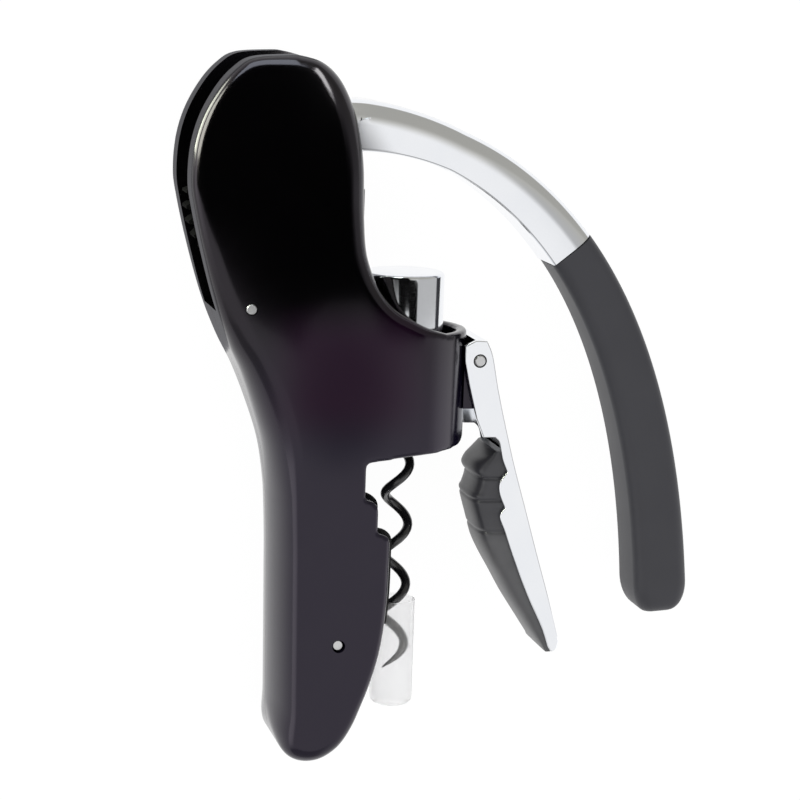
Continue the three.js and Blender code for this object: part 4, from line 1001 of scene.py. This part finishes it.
for x, y in [pad_top - (PAD_TOP_DEPTH, 0), *curve_through(pad_front[0], pad_front[1:], 16)]:
    behind = between(y, back_line)
    limit = max(behind - x, PAD_LEAST_DEPTH) * PAD_ROUND_LIMIT_SHARE
    depth = np.clip(between(y, plate_line) - x - PAD_PROUD, PAD_PROUD, PAD_ROUNDING)
    crease = sum(CREASE_DEPTH * math.exp(-((y - low) / CREASE_WIDTH)**2) for low in PAD_CREASES)
    half = inside - PAD_PLAY - crease
    ring = [(behind, y, half), (behind, y, -half)]
    for share in np.arange(-24, 25) / 24:
        flatness = (1 - abs(share)**PAD_ROUND_POWER * PAD_EDGE_SHARE)**(1 / PAD_ROUND_POWER)
        ring.append((x + min(crease + depth * (1 - flatness), limit), y, half * share))
    rings.append(ring)
pad = skin("pad", rings, degrees=50)
surfaced(pad, "pad_rubber", pad_rubber)
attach(pad, "clamp")
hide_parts("clamp_pad")


# Hinge bracket. Black moulded plate let into the collar's front between two seam lines,
# with two knuckles on a rib that carry the clamp's steel hinge pin.
PLATE_INNER = COLLAR_RADIUS - BRACKET_THICKNESS
RIB_LOW, RIB_FRONT = -1, 20.4
COIL_SPACE = 2.85
bracket = bracket_plate("bracket", -SEAM)
for side in (-1, 1):
    low, high = sorted((side * KNUCKLE_INNER, side * KNUCKLE_OUTER))
    web_low = (PLATE_INNER, HINGE[1] - KNUCKLE_RADIUS, low)
    web_high = (HINGE[0], HINGE[1] + KNUCKLE_RADIUS, high)
    combined(bracket, "UNION", pin("knuckle", *HINGE, low, high, KNUCKLE_RADIUS, PIN_DOME),
             block("web", web_low, web_high))
rib_low, rib_high = (PLATE_INNER, RIB_LOW, -KNUCKLE_OUTER), (RIB_FRONT, HINGE[1], KNUCKLE_OUTER)
combined(bracket, "UNION", block("rib", rib_low, rib_high))
combined(bracket, "DIFFERENCE",
         pin("coil_space", *HINGE, -KNUCKLE_INNER, KNUCKLE_INNER, COIL_SPACE),
         pin("pin_bore", *HINGE, -ACROSS, ACROSS, HINGE_PIN_RADIUS + PIN_PLAY))
surfaced(bracket, "bracket_plastic", black_plastic)
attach(bracket, "housing")
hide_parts("hinge_bracket")
hinge_end = CLAMP_HALF_WIDTH + PIN_DOME
hinge_pin = pin("hinge_pin", *HINGE, -hinge_end, hinge_end, HINGE_PIN_RADIUS, PIN_DOME)
surfaced(hinge_pin, "hinge_pin_steel", ground_steel)
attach(hinge_pin, "housing")
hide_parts("clamp_hinge_pin")


# Parts kept as drawn. The gear, the rack and the small hardware inside show only
# through the slot and the collar, so they keep their own shape and get a finish each.
# The gear and the clamp spring are darker than blackened steel is, as painted shade.
def brass(tree):
    tone = spots(tree, 1.5)
    return tree.node("ShaderNodeBsdfPrincipled", {}, {
        "Base Color": tone.blend((0.5, 0.36, 0.13, 1), (0.6, 0.44, 0.18, 1)),
        "Metallic": 1, "Roughness": 0.3 + tone * 0.1,
    })


def nylon(tree):
    tone = spots(tree, 2)
    return tree.node("ShaderNodeBsdfPrincipled", {}, {
        "Base Color": tone.blend((0.7, 0.67, 0.6, 1), (0.78, 0.75, 0.68, 1)),
        "Roughness": 0.45 + tone * 0.1,
    })


def machined_steel(tree):
    tone = spots(tree, 0.6, 5)
    return tree.node("ShaderNodeBsdfPrincipled", {}, {
        "Base Color": tone.blend((0.32, 0.32, 0.34, 1), (0.45, 0.45, 0.47, 1)),
        "Metallic": 1, "Roughness": 0.35 + tone * 0.15,
    })


# Blackened steel, made darker and duller than the metal is, as painted shade that keeps the gear and the
# spring unlit in the slot and by the hinge.
def blackened_steel_painted_shade(tree):
    tone = spots(tree, 0.6, 5)
    return tree.node("ShaderNodeBsdfPrincipled", {}, {
        "Base Color": tone.blend((0.002, 0.002, 0.002, 1), (0.006, 0.006, 0.006, 1)),
        "Specular IOR Level": 0.04, "Roughness": 0.7 + tone * 0.15,
    })


kept = {
    black_plastic: ["nut_carrier", "slide_block"],
    rubber: ["lip_seat_ring"],
    brass: ["worm_nut"],
    nylon: ["left_axle_bush", "right_axle_bush", "thrust_washer"],
    ground_steel: ["lever_axle", "bracket_screw_1", "bracket_screw_2", "gear_rivet_1", "gear_rivet_2",
                   "gear_rivet_3", "rack_pin_1", "rack_pin_2"],
    machined_steel: ["rack_bar", "retaining_ring"],
    blackened_steel_painted_shade: ["sector_gear", "clamp_spring"],
}
for shading, names in kept.items():
    for name in names:
        surfaced(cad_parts[name], name + "_finish", shading)
